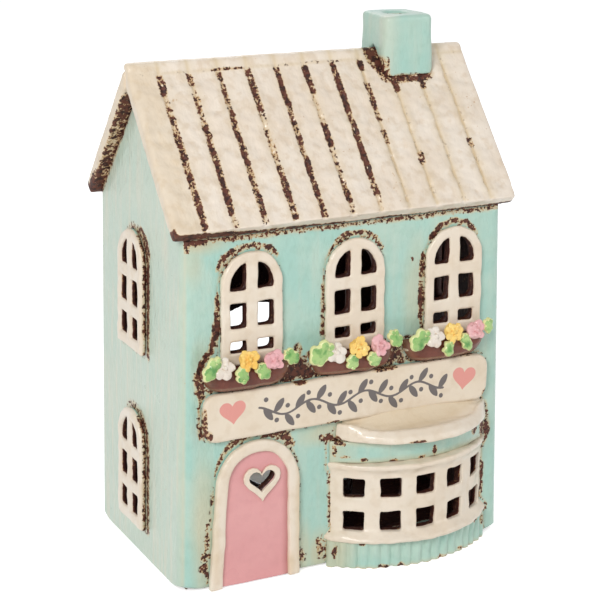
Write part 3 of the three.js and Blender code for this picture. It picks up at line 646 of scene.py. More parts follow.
# %% Walls: rounded corners and foot
corner_round = 4.0
foot_round = 3.0
corner_wear = 3.2
wear_across = 9
wear_up = 6
least_span = 1e-6
points = coordinates(walls)
lean_share = numpy.clip(points[:, 2] / top_height, 0, 1)
top_corners = [v.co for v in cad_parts["front_wall"].data.vertices if v.co.z / MM > top_height - 1]
top_half = max(abs(corner.x) for corner in top_corners) / MM
half = foot_half + (top_half - foot_half) * lean_share
outer_x = half - corner_round
outer_y = abs(front_face) - corner_round


def past_corner(points):
    """How far points lie past the middle of a corner's rounding, along x and along y."""
    return numpy.abs(points[:, 0]) - outer_x, numpy.abs(points[:, 1]) - outer_y


def under_faces(points):
    """How deep points lie under the nearest of the four upright faces, in mm."""
    return numpy.minimum(half - numpy.abs(points[:, 0]), abs(front_face) - numpy.abs(points[:, 1]))


over_x, over_y = past_corner(points)
reach = numpy.hypot(over_x, over_y)
corner = (over_x > 0) & (over_y > 0) & (reach > corner_round)
for axis, limit, over in ((0, outer_x, over_x), (1, outer_y, over_y)):
    pulled = numpy.sign(points[:, axis]) * (limit + over * corner_round / numpy.maximum(reach, least_span))
    points[:, axis] = numpy.where(corner, pulled, points[:, axis])
depth = under_faces(points)
low_part = (depth < foot_round) & (points[:, 2] < foot_round)
slope = numpy.hypot(foot_round - depth, foot_round - points[:, 2])
lift = foot_round - (foot_round - points[:, 2]) * foot_round / numpy.maximum(slope, least_span)
points[:, 2] = numpy.where(low_part & (slope > foot_round), lift, points[:, 2])
to_corner = numpy.hypot(foot_half - numpy.abs(points[:, 0]), abs(front_face) - numpy.abs(points[:, 1]))
worn = numpy.clip(1 - to_corner / wear_across, 0, 1) ** 2 * numpy.clip(1 - points[:, 2] / wear_up, 0, 1)
points[:, 2] += corner_wear * worn * (depth < foot_round)
move_to(walls, points)
print("Rounded", int(corner.sum()), "corner points and", int(low_part.sum()), "foot points")

# %% [markdown]
# The inside is dark and glossy, and so are the cut edges of the openings. A point is within when it lies
# deeper than the first millimetre of the wall, or inside the outline of a frame. The outer face then gets
# its ragged lines: under the roof, round the frames, the sign, the flower boxes, the door and the bow window.

# %% Walls: what is within
points = coordinates(walls)
facing = directions(walls)
over_x, over_y = past_corner(points)
in_corner = (over_x > 0) & (over_y > 0)
depth = numpy.where(in_corner, corner_round - numpy.hypot(over_x, over_y), under_faces(points))
rim_height = 100  # above it, what faces up is the walls' top rim under the roof
under_roof = (facing[:, 2] > 0.5) & (points[:, 2] > rim_height)
within = numpy.clip((depth - 0.7) / 0.9, 0, 1)
within = numpy.where(under_roof & (depth < 2.5), 0, within)
for node in front_windows + left_windows + right_windows:
    low, high = box_mm(node)
    axis = 0 if node in front_windows else 1
    middle = (low[axis] + high[axis]) / 2
    inside = inside_arch(points, axis, middle, frame_half, low[2], high[2] - frame_half)
    same_wall = numpy.abs(points[:, 1 - axis] - (low[1 - axis] + high[1 - axis]) / 2) < 7
    within = numpy.maximum(within, numpy.clip((inside - 0.8) / 0.5, 0, 1) * same_wall)
at_front = points[:, 1] < front_face + 6
below_ground = -5
door_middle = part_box("door_surround")[1].x / MM - surround_half
door_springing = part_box("door_surround")[1].z / MM - surround_half
inside = inside_arch(points, 0, door_middle, surround_half, below_ground, door_springing)
within = numpy.maximum(within, numpy.clip((inside - 2) / 0.5, 0, 1) * at_front)
bow_middle = sum(corner.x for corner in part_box("bow_lattice")) / 2 / MM
bow_hollow_half = 28.0
bow_hollow_height = 23
bow_hollow_rise = 15
behind_bow = at_front & (numpy.abs(points[:, 0] - bow_middle) < bow_hollow_half)
behind_bow = behind_bow & (numpy.abs(points[:, 2] - bow_hollow_height) < bow_hollow_rise)
within = numpy.where(behind_bow, 1, within)
paint(walls, "within", within)
paint(walls, "bare", (points[:, 2] < 0.25) & (depth > 1.2))
print("Points within the house:", int((within > 0.5).sum()))

# %% Walls: ragged lines and blots
front_part = points[:, 1] < front_face + 1.5
left_part = points[:, 0] < -foot_half + 5
eave_strength = follow(points[:, 0], {-57: 1.25, -46: 1.1, -36: 0.9, -10: 0.75, 10: 0.7, 20: 0.9, 57: 0.9})
seams = [
    near(points, ["roof_front_slab"], 2.1) * numpy.where(front_part, eave_strength, 0.25),
    near(points, ["roof_back_slab"], 2.0, along=1) * 0.85,
    near(points, ["chimney"], 3.0),
    near(points, front_windows, 1.4, left=0.45, right=0.2, above=0.5, below=0.3),
    near(points, left_windows + right_windows, 2.9, along=1, left=1.35, right=0.12, above=0.55, below=0.3),
    near(points, ["sign_board"], 1.6, left=0.8, right=0.4, above=0.5, below=0.5),
    near(points, boxes, 1.6, left=0.85, right=0.5, above=0.5, below=0.75),
    near(points, ["door_surround"], 1.6, left=0.45, right=0.5, above=0.4),
    near(points, bow, 1.6, left=0.5, right=0.55, above=0.35),
]
front_runs = [
    (1.3, [(-57, 114.0, 1.5), (-51, 114.9, 1.5), (-45, 115.2, 1.0), (-34, 115.4, 0.6)]),
    (0.9, [(-55.8, 114, 1.0), (-54.4, 111.4, 0.6)]),
    (0.85, [(-45.0, 97, 0.6), (-45.2, 88, 0.9)]),
    (1.1, [(-45.2, 88, 1.0), (-45.8, 84, 1.1), (-47.4, 79.5, 1.0), (-50.2, 76, 0.9), (-51.9, 71.5, 0.9)]),
    (0.72, [(-51.9, 72, 1.3), (-51.4, 67.5, 1.4), (-50.8, 64, 0.9)]),
    (0.78, [(-44.9, 105, 0.6), (-43.0, 108.3, 0.8), (-38.4, 110.9, 0.8), (-32.5, 111.5, 0.75),
            (-27.4, 110.0, 0.6), (-24.8, 107.4, 0.5)]),
    (0.72, [(-9.1, 96, 0.6), (-9.1, 80, 0.6)]),
    (0.74, [(-6.9, 106.4, 0.4), (-4.0, 109.9, 0.6), (-1, 111.4, 0.7), (5, 111.4, 0.75),
            (9.2, 109.4, 0.55), (11.8, 105.4, 0.4)]),
    (0.85, [(29.4, 106.6, 0.8), (32.6, 110.4, 0.8), (38, 111.8, 0.85), (43, 110.4, 0.7), (46.4, 106.4, 0.5)]),
    (0.8, [(26.3, 102, 0.4), (26.2, 97, 0.9), (26.2, 84, 0.9), (26.4, 79, 0.6)]),
    (0.66, [(-46.4, 39, 0.4), (-44.9, 43.5, 0.6), (-42.2, 46.8, 0.9), (-38.6, 49.2, 0.9), (-33, 49.9, 0.6)]),
    (0.85, [(-31, 50.2, 0.6), (-28, 49.9, 0.9), (-22.6, 48.6, 1.4), (-19.6, 44.6, 0.7)]),
    (0.7, [(-49.2, 22.5, 0.5), (-49.5, 18, 0.6), (-49.9, 13, 0.4)]),
    (0.85, [(-9.4, 45.2, 0.8), (-6.6, 44.6, 1.3), (-4.2, 43.2, 0.8)]),
    (0.55, [(-48, 50.0, 0.5), (-20, 50.2, 0.5)]),
    (1.05, [(-21.6, 66.8, 1.6), (-18.0, 71.0, 2.6), (-14.4, 67.2, 1.6)]),
    (1.0, [(15.2, 67.0, 1.2), (17.4, 71.0, 1.9), (19.4, 67.0, 1.2)]),
]
runs = [trail(points, path, strength=amount) for amount, path in front_runs]
blots = spots(points, [
    (-17.7, 75.5, 1.4, 2.0, 0.6), (17.4, 75.0, 1.1, 1.8, 0.6), (-50.4, 11.6, 1.1, 1.3, 0.9),
    (-50.7, 7.8, 1.2, 1.5, 0.9), (-16.2, 5.2, 1.4, 2.4, 0.42), (-9.6, 6.4, 1.1, 2.8, 0.72),
    (-10.4, 9.4, 0.8, 1.0, 0.8), (-50.9, 53.2, 1.0, 2.0, 0.9), (52.3, 38.5, 1.4, 2.4, 0.66),
    (22.6, 100.0, 0.6, 1.2, 0.45),
])
side_runs = trail(points, [(-2, 111, 0.8), (-6.2, 108.4, 1.0), (-8.6, 104, 1.1)], across=1) * left_part
broken = numpy.max(seams + [side_runs, numpy.max(runs + [blots], 0) * front_part], 0) * (depth < 1.0)
paint(walls, "break", numpy.where(under_roof, 0.9, broken))
on_left = numpy.clip((-facing[:, 0] - 0.5) / 0.4, 0, 1)
# Painted highlight: the rounded front-left corner, picked by the way it faces, gets a pale streak, and a tan
# tinge too.
corner_sheen_and_tan = numpy.clip(1 - numpy.abs(facing[:, 0] + 0.72) / 0.2, 0, 1) * (facing[:, 1] < 0)
paint(walls, "cream", numpy.maximum(on_left * 0.7, corner_sheen_and_tan * 0.75))
washes = spots(points, [
    (-50.0, 20.0, 4.0, 22.0, 0.8), (-50.0, 72.0, 3.6, 10.0, 0.6), (-15.5, 6.0, 3.0, 9.0, 0.7),
    (-10.0, 5.0, 4.0, 7.0, 0.9), (24.0, 90.0, 4.0, 14.0, 0.6), (-8.0, 46.5, 8.0, 3.5, 0.8),
    (50.0, 62.0, 3, 10, 0.3), (-52.0, 114.0, 9.0, 3.4, 1.0), (-53.0, 108.0, 3.0, 7.0, 0.5),
])
paint(walls, "haze", numpy.maximum(washes * front_part, corner_sheen_and_tan * 0.4))
paint_relief(walls, 5, 1.2)
print("Points on ragged lines:", int((broken > 0.5).sum()))

# %% [markdown]
# ## Roof
# Each slope is one slab of clay with boards scored into it, and a strip of clay over the ridge, on both sides
# of the chimney, is pressed onto the front one until they are one piece. The potter pressed it all by hand,
# so the boards have dents and don't lie quite level. That is moved into the mesh, because it shows on the
# roof's edge and in the highlights. A slope is easiest to paint in its own terms: how far down it a point
# lies, and how deep under its top.

# %% Hand-made unevenness
noise.seed_set(7)  # unseeded, noise_vector takes its offsets from the clock, and no two runs are alike


def hand_made(obj, amount, size, seed):
    """Moves the points by smooth noise: up to about this many mm, in lumps about this many mm across."""
    points = coordinates(obj)
    offset = Vector((seed, 2 * seed, -seed))
    shift = [noise.noise_vector(Vector(p) / size + offset) for p in points]
    move_to(obj, points + numpy.array(shift) * amount)


def pressed(name, nodes, voxel, passes, slot, material, dents, extend=None):
    """A clay piece and its points, after hands have left dents of (amount, size, seed) in it."""
    piece = clay(name, nodes, voxel, passes, material, extend)
    hand_made(piece, *dents)
    return piece, coordinates(piece)


def swell(points, size, seed=0.0):
    """One value of smooth noise per point, in lumps of about this many mm."""
    offset = Vector((seed, -seed, 2 * seed))
    return numpy.array([noise.noise(Vector(p) / size + offset) for p in points])

# %% Roof measures
roof_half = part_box("roof_front_slab")[1].x / MM
ridge_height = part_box("roof_front_slab")[1].z / MM
board_count = 12
board_pitch = 2 * roof_half / board_count
roof_fall = math.radians(49.2)
slope_length = 58.2
slab_gap = 0.15  # from the middle of the house to each slope's upper end
strip_edge = 2.9  # from the ridge down to the lower edge of its strip


def slope_places(points):
    """How far down the slope each point lies from the ridge, and how deep under the slope's top, in mm."""
    out = numpy.abs(points[:, 1]) - slab_gap
    drop = ridge_height - points[:, 2]
    return (out * math.cos(roof_fall) + drop * math.sin(roof_fall),
            drop * math.cos(roof_fall) - out * math.sin(roof_fall))

# %% [markdown]
# The slip shows in the scores in lengths: nearly all along on the left, in places in the middle, and mostly
# as a tan shadow on the right. Each entry says in which share of the slope's length a score has broken, from
# the ridge down, and how much. The back slope gets an even pattern of two lengths a score.

# %% Where the scores have broken
front_breaks = {
    1: [(0.0, 0.18, 0.85), (0.25, 0.40, 0.6), (0.40, 0.75, 0.72), (0.75, 1.0, 0.9)],
    2: [(0.0, 0.14, 0.7), (0.20, 0.32, 0.58), (0.36, 0.65, 0.72), (0.65, 0.92, 0.8)],
    3: [(0.0, 0.12, 0.9), (0.15, 0.28, 0.58), (0.30, 0.65, 0.75), (0.65, 0.95, 0.7)],
    4: [(0.0, 0.33, 0.8), (0.50, 0.62, 0.56), (0.66, 1.0, 0.72)],
    5: [(0.0, 0.30, 0.85), (0.30, 0.60, 0.66), (0.60, 1.0, 0.72)],
    6: [(0.0, 0.25, 0.7), (0.42, 0.58, 0.78), (0.78, 0.92, 0.76)],
    7: [(0.0, 0.50, 0.8), (0.50, 0.78, 0.95), (0.78, 0.90, 0.72)],
    8: [(0.0, 0.12, 1.0), (0.20, 0.45, 0.66), (0.50, 0.60, 0.58)],
    9: [(0.10, 0.28, 1.0), (0.66, 0.74, 0.66)],
    10: [(0.15, 0.27, 0.85)],
    11: [(0.60, 0.66, 0.5)],
}
back_breaks = {
    k: [(0.1 + 0.05 * (k % 3), 0.45, 0.66), (0.55, 0.95 - 0.06 * (k % 4), 0.76)]
    for k in range(1, board_count)
}


def score_strength(score, down, breaks):
    """How strongly slip shows in each point's score: faintly all along, and more in its broken lengths."""
    strength = numpy.where(score < 8, 0.3, 0.1)
    share = down / slope_length
    for k, lengths in breaks.items():
        for start, end, amount in lengths:
            inside = numpy.clip(numpy.minimum(share - start, end - share) / 0.02 + 0.5, 0, 1)
            strength = numpy.where(score == k, numpy.maximum(strength, inside * amount), strength)
    return strength


print("Scores with breaks:", len(front_breaks))

# %% Roof slabs
strip_sink = 0.9
strip_foot_low = 160.1
strip_foot_high = 161.7


def sink_strip(p):
    """Lets the ridge strips reach into the slopes. Only the points under them lie in this narrow band."""
    if abs(p.y) < 1.3 and strip_foot_low < p.z < strip_foot_high:
        return (p.x, p.y, p.z - strip_sink)
    return p


def roof(name, nodes):
    """One slope with its edges rubbed soft, its boards dented and tipped, and its ridge lifted a little."""
    slope = clay(name, nodes, 0.5, 3, roof_glaze, sink_strip)
    points = coordinates(slope)
    down = slope_places(points)[0]
    edge = (down > slope_length - 3) | (down < 7) | (numpy.abs(points[:, 0]) > roof_half - 3)
    rub_soft(slope, numpy.where(edge, 0.8, 0.0), 7)
    ends = (down > slope_length - 5) & (numpy.abs(points[:, 0]) > roof_half - 4)
    rub_soft(slope, numpy.where(ends | (down < 2.5), 0.8, 0.0), 9)
    points = coordinates(slope)
    top = directions(slope)[:, 2] > 0.3
    board = numpy.floor(points[:, 0] / board_pitch)
    along_board = points[:, 0] / board_pitch - board
    tip = numpy.sin(board * 2.4) * 0.16 + (along_board - 0.5) * numpy.sin(board * 4.1) * 0.25
    dents = swell(points, 5.0) * 0.5 + swell(points, 2.2, 4.0) * 0.24
    from_rim = numpy.minimum.reduce([down - 3, slope_length - down, roof_half - numpy.abs(points[:, 0])])
    calm = 0.15 + 0.85 * numpy.clip(from_rim / 4, 0, 1)
    points = points + directions(slope) * numpy.where(top, dents * calm + tip * calm, dents * 0.2)[:, None]
    at_ridge = numpy.clip((4.0 - slope_places(points)[0]) / 4.0, 0, 1)
    points[:, 2] += at_ridge * follow(points[:, 0], {-60: 0.9, 0: 0.6, 60: 0.2})
    move_to(slope, points)
    return slope


def roof_paint(slope, breaks, side):
    """side is -1 for the front slope and 1 for the back one."""
    points = coordinates(slope)
    facing = directions(slope)
    down, under = slope_places(points)
    top = (facing[:, 2] > 0.3) & (under < 2.0)
    nearest = numpy.round((points[:, 0] + roof_half) / board_pitch)
    is_score = (nearest > 0) & (nearest < board_count)
    away = numpy.abs(points[:, 0] + roof_half - nearest * board_pitch)
    scored = numpy.clip((1.35 - away) / 0.6, 0, 1) * score_strength(nearest, down, breaks)
    scored = scored * top * is_score * numpy.clip(down - 3.0, 0, 1)
    brow = follow(points[:, 0], {-46: 0.55, -36: 0.1})
    end_face = (down > slope_length - 2.6) & (facing[:, 2] < brow)
    wave = 1 + 0.25 * numpy.sin(points[:, 0] / 5.0) * numpy.sin(points[:, 0] / 13.0)
    start = follow(points[:, 0], {-52: -1.6, -46: -1.2, -36: 0.2, -12: 0.9, 4: 2.0, 14: 1.2,
                                  26: 1.9, 58: 1.0})
    lower_edge = numpy.clip((under - start) / 0.9, 0, 1) * end_face * wave
    verge = points[:, 0] < -roof_half + 1.6
    sliver = follow(down, {0: 0, 6: 0, 10: 1.05, 18: 0.92, 26: 0.66, 42: 0.62, 46: 0.9, 60: 0.95})
    inner_half = numpy.clip(under - follow(down, {0: 2.3, 44: 2.3, 50: 0.6, 60: 0.6}), 0, 1)
    overhang = (facing[:, 2] < -0.3) & (points[:, 0] < -52)
    verge_line = sliver * inner_half * (verge | overhang | ((points[:, 0] < -roof_half + 5) & (down > 50)))
    verge_line = verge_line * (side > 0)
    strip_line = numpy.clip(fades_at - numpy.abs(down - strip_edge) / 0.5, 0, 1)
    strip_line = strip_line * follow(points[:, 0], {-60: 0.1, -33: 0.1, -31: 0.62, -22: 0.62, -20: 0.16,
                                                    -6: 0.16, 8: 0.25, 20: 0.1})
    smear = trail(numpy.column_stack([points[:, 0], points[:, 1], down]),
                  [(23.8, -1.0, 1.5), (25.0, 3, 2.2), (27.6, 8.6, 1.5)]) * top
    foot = near(points, ["chimney"], 2.6, left=0.9, right=0.62, above=0.4, below=0.95) * top
    paint(slope, "break", numpy.max([scored, lower_edge, verge_line, strip_line * top, smear, foot], 0))
    inner = (under > 2.5) & (numpy.abs(points[:, 0]) < 52) & (numpy.abs(points[:, 1]) < 32)
    paint(slope, "within", inner)
    beside_scores = numpy.clip(1 - away / 3.4, 0, 1) * 0.6 + numpy.clip(1 - away, 0, 1) * 0.5
    beside_scores = beside_scores * top * is_score
    strip_tan = numpy.clip(1 - numpy.abs(down - strip_edge), 0, 1) * top
    verge_tan = numpy.clip((-44 - points[:, 0]) / 8, 0, 1) * 0.55
    paint(slope, "haze", numpy.maximum.reduce([beside_scores, strip_tan * 0.8, verge_tan]))
    # The hollows of the dents take the deep colour: pooled glaze, with painted shade for their dimmer
    # reflections.
    paint_relief(slope, 4, 2.6)
    print(slope.name, len(slope.data.polygons), "faces, points in the scores:", int((scored > 0.5).sum()))


roof_front = roof("roof_front", ["roof_front_slab", "ridge_strip_left", "ridge_strip_right"])
roof_paint(roof_front, front_breaks, -1)
roof_back = roof("roof_back", ["roof_back_slab"])
roof_paint(roof_back, back_breaks, 1)

# %% [markdown]
# ## Chimney
# A block of clay with a round flue. Its corners are well rubbed, so it gets more smoothing passes than most
# pieces. Slip shows round its foot, most of all on the left, where the glaze ran away from the corner.

# %% Chimney
low, high = box_mm("chimney")
middle = (low + high) / 2
flue_edge = 3.7
flue_dark = 3.9
left_swell = 1.06
right_swell = 1.09
low_right_swell = 0.07
depth_swell = 1.03


def swell_chimney(p):
    """Bulges the clay block, most of all low on the right. It makes up for what the rubbing takes off too."""
    low_down = min(max((high[2] - p.z) / 12, 0), 1)
    wider = left_swell if p.x < middle[0] else right_swell + low_right_swell * low_down
    return (middle[0] + (p.x - middle[0]) * wider, middle[1] + (p.y - middle[1]) * depth_swell, p.z)


stack, points = pressed("stack", ["chimney"], 0.5, 7, "mint_glaze", mint_glaze, (0.35, 9.0, 5.0),
                        swell_chimney)
from_flue = numpy.hypot(points[:, 0] - middle[0], points[:, 1] - middle[1])
paint(stack, "within", numpy.clip((flue_dark - from_flue) / 0.4, 0, 1))
roof_nodes = ["roof_front_slab", "roof_back_slab"]
foot_corner = numpy.hypot(points[:, 0] - low[0], points[:, 1] + 3.5)
left_foot = numpy.clip(1 - foot_corner / 12, 0, 1) * numpy.clip((161.5 - points[:, 2]) / 3.0, 0, 1)
foot_line = near(points, roof_nodes, 1.5, left=0.7, right=0.6, above=0.7)
flue_line = numpy.clip(1 - numpy.abs(from_flue - flue_edge) / 0.6, 0, 1) * (points[:, 2] > high[2] - 2) * 0.55
chimney_breaks = [foot_line, left_foot * (points[:, 0] < low[0] + 1.5), flue_line]
paint(stack, "break", numpy.maximum.reduce(chimney_breaks))
# Painted light: a pale highlight down the chimney's front-left edge, and a paler left face, where the light
# comes from.
edge_highlight = numpy.clip(1 - numpy.hypot(points[:, 0] - low[0] - 1, points[:, 1] - low[1] - 2) / 5, 0, 1)
paint(stack, "cream", numpy.maximum(edge_highlight * 0.9, (points[:, 0] < low[0] + 1.5) * 0.2))
paint_relief(stack, 8, 0.8)
print("Chimney:", len(stack.data.polygons), "faces")

# %% [markdown]
# ## Windows
# Seven arched frames are cut from a thin sheet of clay and stuck on the walls, and their panes are cut with
# a knife, so no two are alike. Their faces are cream, the mint of the wall laps up their outer sides, and the
# cut edges of the panes turn dark just behind the face. The slip has broken all along the side of a gable
# frame that looks to the front, and on the left side of the front ones.

# %% Frames
def window(node, axis, outward):
    """axis is the one along the wall, 0 or 1. outward is -1 or 1, the side of the house that it faces."""
    piece, points = pressed(node.replace("window", "frame"), [node], 0.34, 3, "cream_glaze", cream_glaze,
                            (0.28, 4.0, len(node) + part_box(node)[0].x * 90))
    low, high = box_mm(node)
    middle = (low[axis] + high[axis]) / 2
    springing = high[2] - frame_half
    from_edge = inside_arch(points, axis, middle, frame_half, low[2], springing)
    through = 1 - axis
    face = max(abs(low[through]), abs(high[through]))
    if axis == 1:
        lean = (face - abs(low[through] + high[through]) / 2 - 1) / (high[2] - low[2]) * 2
        face = face - lean * (points[:, 2] - low[2])
    depth = face - outward * points[:, through]
    outer = from_edge < 0.7
    paint(piece, "second", numpy.where(outer, numpy.clip((depth - 0.8) / 0.8, 0, 1), 0))
    paint(piece, "within", numpy.where(from_edge < 1.6, 0, numpy.clip((depth - 0.35) / 0.6, 0, 1)))
    inset, spread, amount = (0, 4, 0.45) if axis == 0 else (3, 3, 0.75)
    on_near_side = numpy.clip((middle - inset - points[:, axis]) / spread, 0, 1)
    seam = numpy.clip((depth - 0.5) / 1.2, 0, 1) * outer * on_near_side
    paint(piece, "break", seam * amount)
    paint_relief(piece, 4, 1.2)


for node in front_windows:
    window(node, 0, -1)
for node in left_windows:
    window(node, 1, -1)
for node in right_windows:
    window(node, 1, 1)
print("Frames:", len(front_windows + left_windows + right_windows))

# %% [markdown]
# ## Door
# A flat pink door stands in a broad cream arch, and a heart is cut through it, with a raised cream rim that
# was pressed on like a ribbon of clay.

# %% Door
surround, points = pressed("door_arch", ["door_surround"], 0.4, 8, "cream_glaze", cream_glaze,
                           (0.3, 6.0, 11.0))
depth = points[:, 1] - box_mm("door_surround")[0][1]
from_edge = inside_arch(points, 0, door_middle, surround_half, below_ground, door_springing)
outer = from_edge < 0.8
paint(surround, "second", numpy.where(outer, numpy.clip((depth - 1.4) / 0.8, 0, 1), 0))
paint(surround, "break", near(points, wall_nodes, 1.2, left=0.6, right=0.5) * outer * 0.6)
side_wash = spots(points, [(-47.4, 18, 1.2, 16, 0.5), (-18.4, 20, 1.2, 20, 0.7), (-21.6, 4, 2, 4, 0.7)])
paint(surround, "haze", side_wash)
paint_relief(surround, 4, 1.0)

leaf_foot, leaf_top = (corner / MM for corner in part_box("door_panel"))
leaf_middle = (leaf_foot.x + leaf_top.x) / 2
leaf_springing = leaf_top.z - (leaf_top.x - leaf_middle)
leaf_lap = 0.7
heart_reach = 9  # the leaf's points that are nearer to the middle than this belong to the heart


def reach_under_arch(p):
    """Lets the leaf run a little under the arch all round, so that no slit stays open between them."""
    across, over = p.x - leaf_middle, max(p.z - leaf_springing, 0)
    out = math.hypot(across, over)
    if out < heart_reach:
        return p
    return (p.x + leaf_lap * across / out, p.y, p.z + leaf_lap * over / out)


leaf_of_door, points = pressed("door_leaf", ["door_panel"], 0.36, 3, "pink_glaze", pink_glaze,
                               (0.15, 8.0, 13.0), reach_under_arch)
facing = directions(leaf_of_door)
heart_middle = sum(box_mm("door_heart_rim")) / 2
from_heart = numpy.abs(points - heart_middle)
about_heart = (from_heart[:, 0] < 7) & (from_heart[:, 2] < 7)
paint(leaf_of_door, "within", about_heart & (facing[:, 1] > -0.6))
# Painted shade: the leaf darkens towards its right edge beside the arch, written in as a hollow.
right_shade = numpy.clip(1 - (leaf_top.x - 0.1 - points[:, 0]) / 2.8, 0, 1)
paint(leaf_of_door, "relief", -0.34 * right_shade)

rim = clay("heart_rim", ["door_heart_rim"], 0.22, 3, cream_glaze)
hand_made(rim, 0.2, 3.0, 17.0)
paint_relief(rim, 4, 1.0)
print("Door pieces: arch, leaf and heart rim")

# %% [markdown]
# ## Shop sign
# The sign is a cream board right across the front. It carries two pink hearts and, between them, a painted
# garland: a wavy stem with leaves on both sides and a berry across from each leaf. Both are drawn here as
# distances. Each point of the board gets how far it lies inside the nearest brush stroke, and the glaze turns
# that into ink with a slightly soft edge.

# %% Brush strokes as distances
def inside_outline(x, z, outline):
    """How far points lie inside a closed outline, in mm, below 0 outside it."""
    nearest = numpy.full(len(x), 1e3)
    crossings = numpy.zeros(len(x), int)
    for start, end in zip(outline, outline[1:] + outline[:1]):
        nearest = numpy.minimum(nearest, from_stretch(x, z, start, end)[0])
        (x0, z0), (x1, z1) = start, end
        if z0 != z1:
            spans = (z0 > z) != (z1 > z)
            crossings += spans & (x < x0 + (z - z0) * (x1 - x0) / (z1 - z0))
    return numpy.where(crossings % 2 == 1, nearest, -nearest)


def drawn(x, z, turn, steps, place):
    """A closed outline about a place, turned. place gives (across, up) in mm at an angle round it."""
    shape = []
    for k in range(steps):
        px, pz = place(2 * math.pi * k / steps)
        shape.append((x + px * math.cos(turn) - pz * math.sin(turn),
                      z + px * math.sin(turn) + pz * math.cos(turn)))
    return shape


def heart(x, z, width, height, turn):
    """The outline of a heart of this size in mm about a place."""
    def place(t):
        rise = (13 * math.cos(t) - 5 * math.cos(2 * t) - 2 * math.cos(3 * t) - math.cos(4 * t) + 2.5) / 14.5
        return math.sin(t) ** 3 * width / 2, rise * height / 2

    return drawn(x, z, turn, 48, place)


def leaf_outline(x, z, length, width, turn):
    """A pointed leaf that starts at a place and grows in a direction."""
    def place(t):
        return length * (0.5 - 0.5 * math.cos(t)), width / 2 * math.sin(t) * abs(math.sin(t)) ** 0.4

    return drawn(x, z, turn, 24, place)


def ink(inside):
    """The painted value of a stroke: 0.5 on its outline, more inside."""
    return numpy.clip(0.5 + inside / 1.2, 0, 1)


# %% Sign board
far_outside = -9.0
heart_marks = [(-41.4, 59.3, 8.9, 7.8, 0.05), (41.3, 58.3, 8.7, 8.0, -0.12)]
stem_start = -32.5
stem_length = 66.0
stem_steps = 96
stem_half = 0.36
stem_middle = 58.2
stem_swing = 1.7
stem_wave = 19.0
leaf_count = 18
leaf_pitch = 3.7
leaf_size = (5.4, 2.3)
leaf_turn = 0.95
berry_radius = 0.8
berry_out = 2.7
sign, points = pressed("shop_sign", ["sign_board"], 0.34, 3, "cream_glaze", sign_glaze, (0.3, 9.0, 19.0))
low, high = box_mm("sign_board")
depth = points[:, 1] - low[1]
x, z = points[:, 0], points[:, 2]
on_face = depth < 1.0
hearts = numpy.full(len(points), far_outside)
for mark in heart_marks:
    hearts = numpy.maximum(hearts, inside_outline(x, z, heart(*mark)))
paint(sign, "hearts", numpy.where(on_face, ink(hearts), 0))


def stem_height(along):
    return stem_middle + stem_swing * math.sin(2 * math.pi * along / stem_wave)


strokes = numpy.full(len(points), far_outside)
stem_places = [stem_start + stem_length * k / stem_steps for k in range(stem_steps + 1)]
stem = [(along, stem_height(along)) for along in stem_places]
for start, end in zip(stem, stem[1:]):
    strokes = numpy.maximum(strokes, stem_half - from_stretch(x, z, start, end)[0])
for k in range(leaf_count):
    along = stem_start + 1.5 + leaf_pitch * k
    side = 1 if k % 2 else -1
    blade = leaf_outline(along, stem_height(along), *leaf_size, side * leaf_turn)
    strokes = numpy.maximum(strokes, inside_outline(x, z, blade))
    berry = numpy.hypot(x - along - 0.8, z - stem_height(along) + side * berry_out)
    strokes = numpy.maximum(strokes, berry_radius - berry)
paint(sign, "garland", numpy.where(on_face, ink(strokes), 0))
edge = numpy.minimum.reduce([x - low[0], high[0] - x, z - low[2], high[2] - z])
paint(sign, "second", numpy.where(edge < 1.0, numpy.clip((depth - 1.2) / 1.0, 0, 1), 0))
chips = spots(points, [
    (-50.6, 58.0, 0.5, 4.0, 0.8), (-50.0, 53.0, 1.3, 1.5, 0.9), (-6.5, 50.7, 2.2, 0.5, 0.8),
    (12.0, 65.8, 4.0, 0.5, 0.75), (-18.0, 65.8, 2.0, 0.7, 0.9), (49.6, 52.0, 0.9, 1.4, 0.6),
])
paint(sign, "break", numpy.maximum(near(points, wall_nodes + boxes, 1.1) * (edge < 1.2) * 0.6, chips))
paint_relief(sign, 4, 1.2)
print("Sign:", len(sign.data.polygons), "faces, inked points:", int((strokes > 0).sum()))

# %% [markdown]
# ## Bow window
# A ribbed plinth, a curved lattice with hand-cut panes, a plain band, and a canopy that dips like a dish.
# The lattice is cut from one curved slab, so the depth of a point behind the slab's round outer face says
# whether it belongs to a pane's dark cut edge.

# %% Bow window
bow_radius = 39.6
bow_out = 12
bow_centre = front_face - bow_out + bow_radius

plinth, points = pressed("bow_ribs", ["bow_plinth"], 0.34, 1, "mint_glaze", mint_glaze, (0.45, 5.0, 23.0))
chips = spots(points, [
    (-5.4, 5.6, 0.8, 2.4, 0.8), (2.2, 8.8, 0.8, 0.7, 0.9), (15.0, 9.0, 1.4, 0.5, 0.9),
    (9.0, 0.6, 1.6, 0.7, 0.8), (14.6, 0.6, 1.2, 0.9, 0.95), (30.0, 0.5, 2.0, 0.8, 0.8),
    (38.0, 1.2, 1.0, 0.8, 0.9), (46.0, 8.6, 1.2, 0.8, 0.9), (50.6, 7.0, 0.8, 2.0, 0.8),
])
paint(plinth, "break", numpy.maximum(chips, near(points, wall_nodes, 1.2) * 0.6))
paint(plinth, "haze", numpy.maximum(numpy.clip(1 - points[:, 2] / 1.6, 0, 1) * 0.8,
                                    numpy.clip((2.0 - points[:, 0]) / 6.0, 0, 1) * 0.8))
paint(plinth, "bare", points[:, 2] < 0.2)
paint_relief(plinth, 3, 2.2)

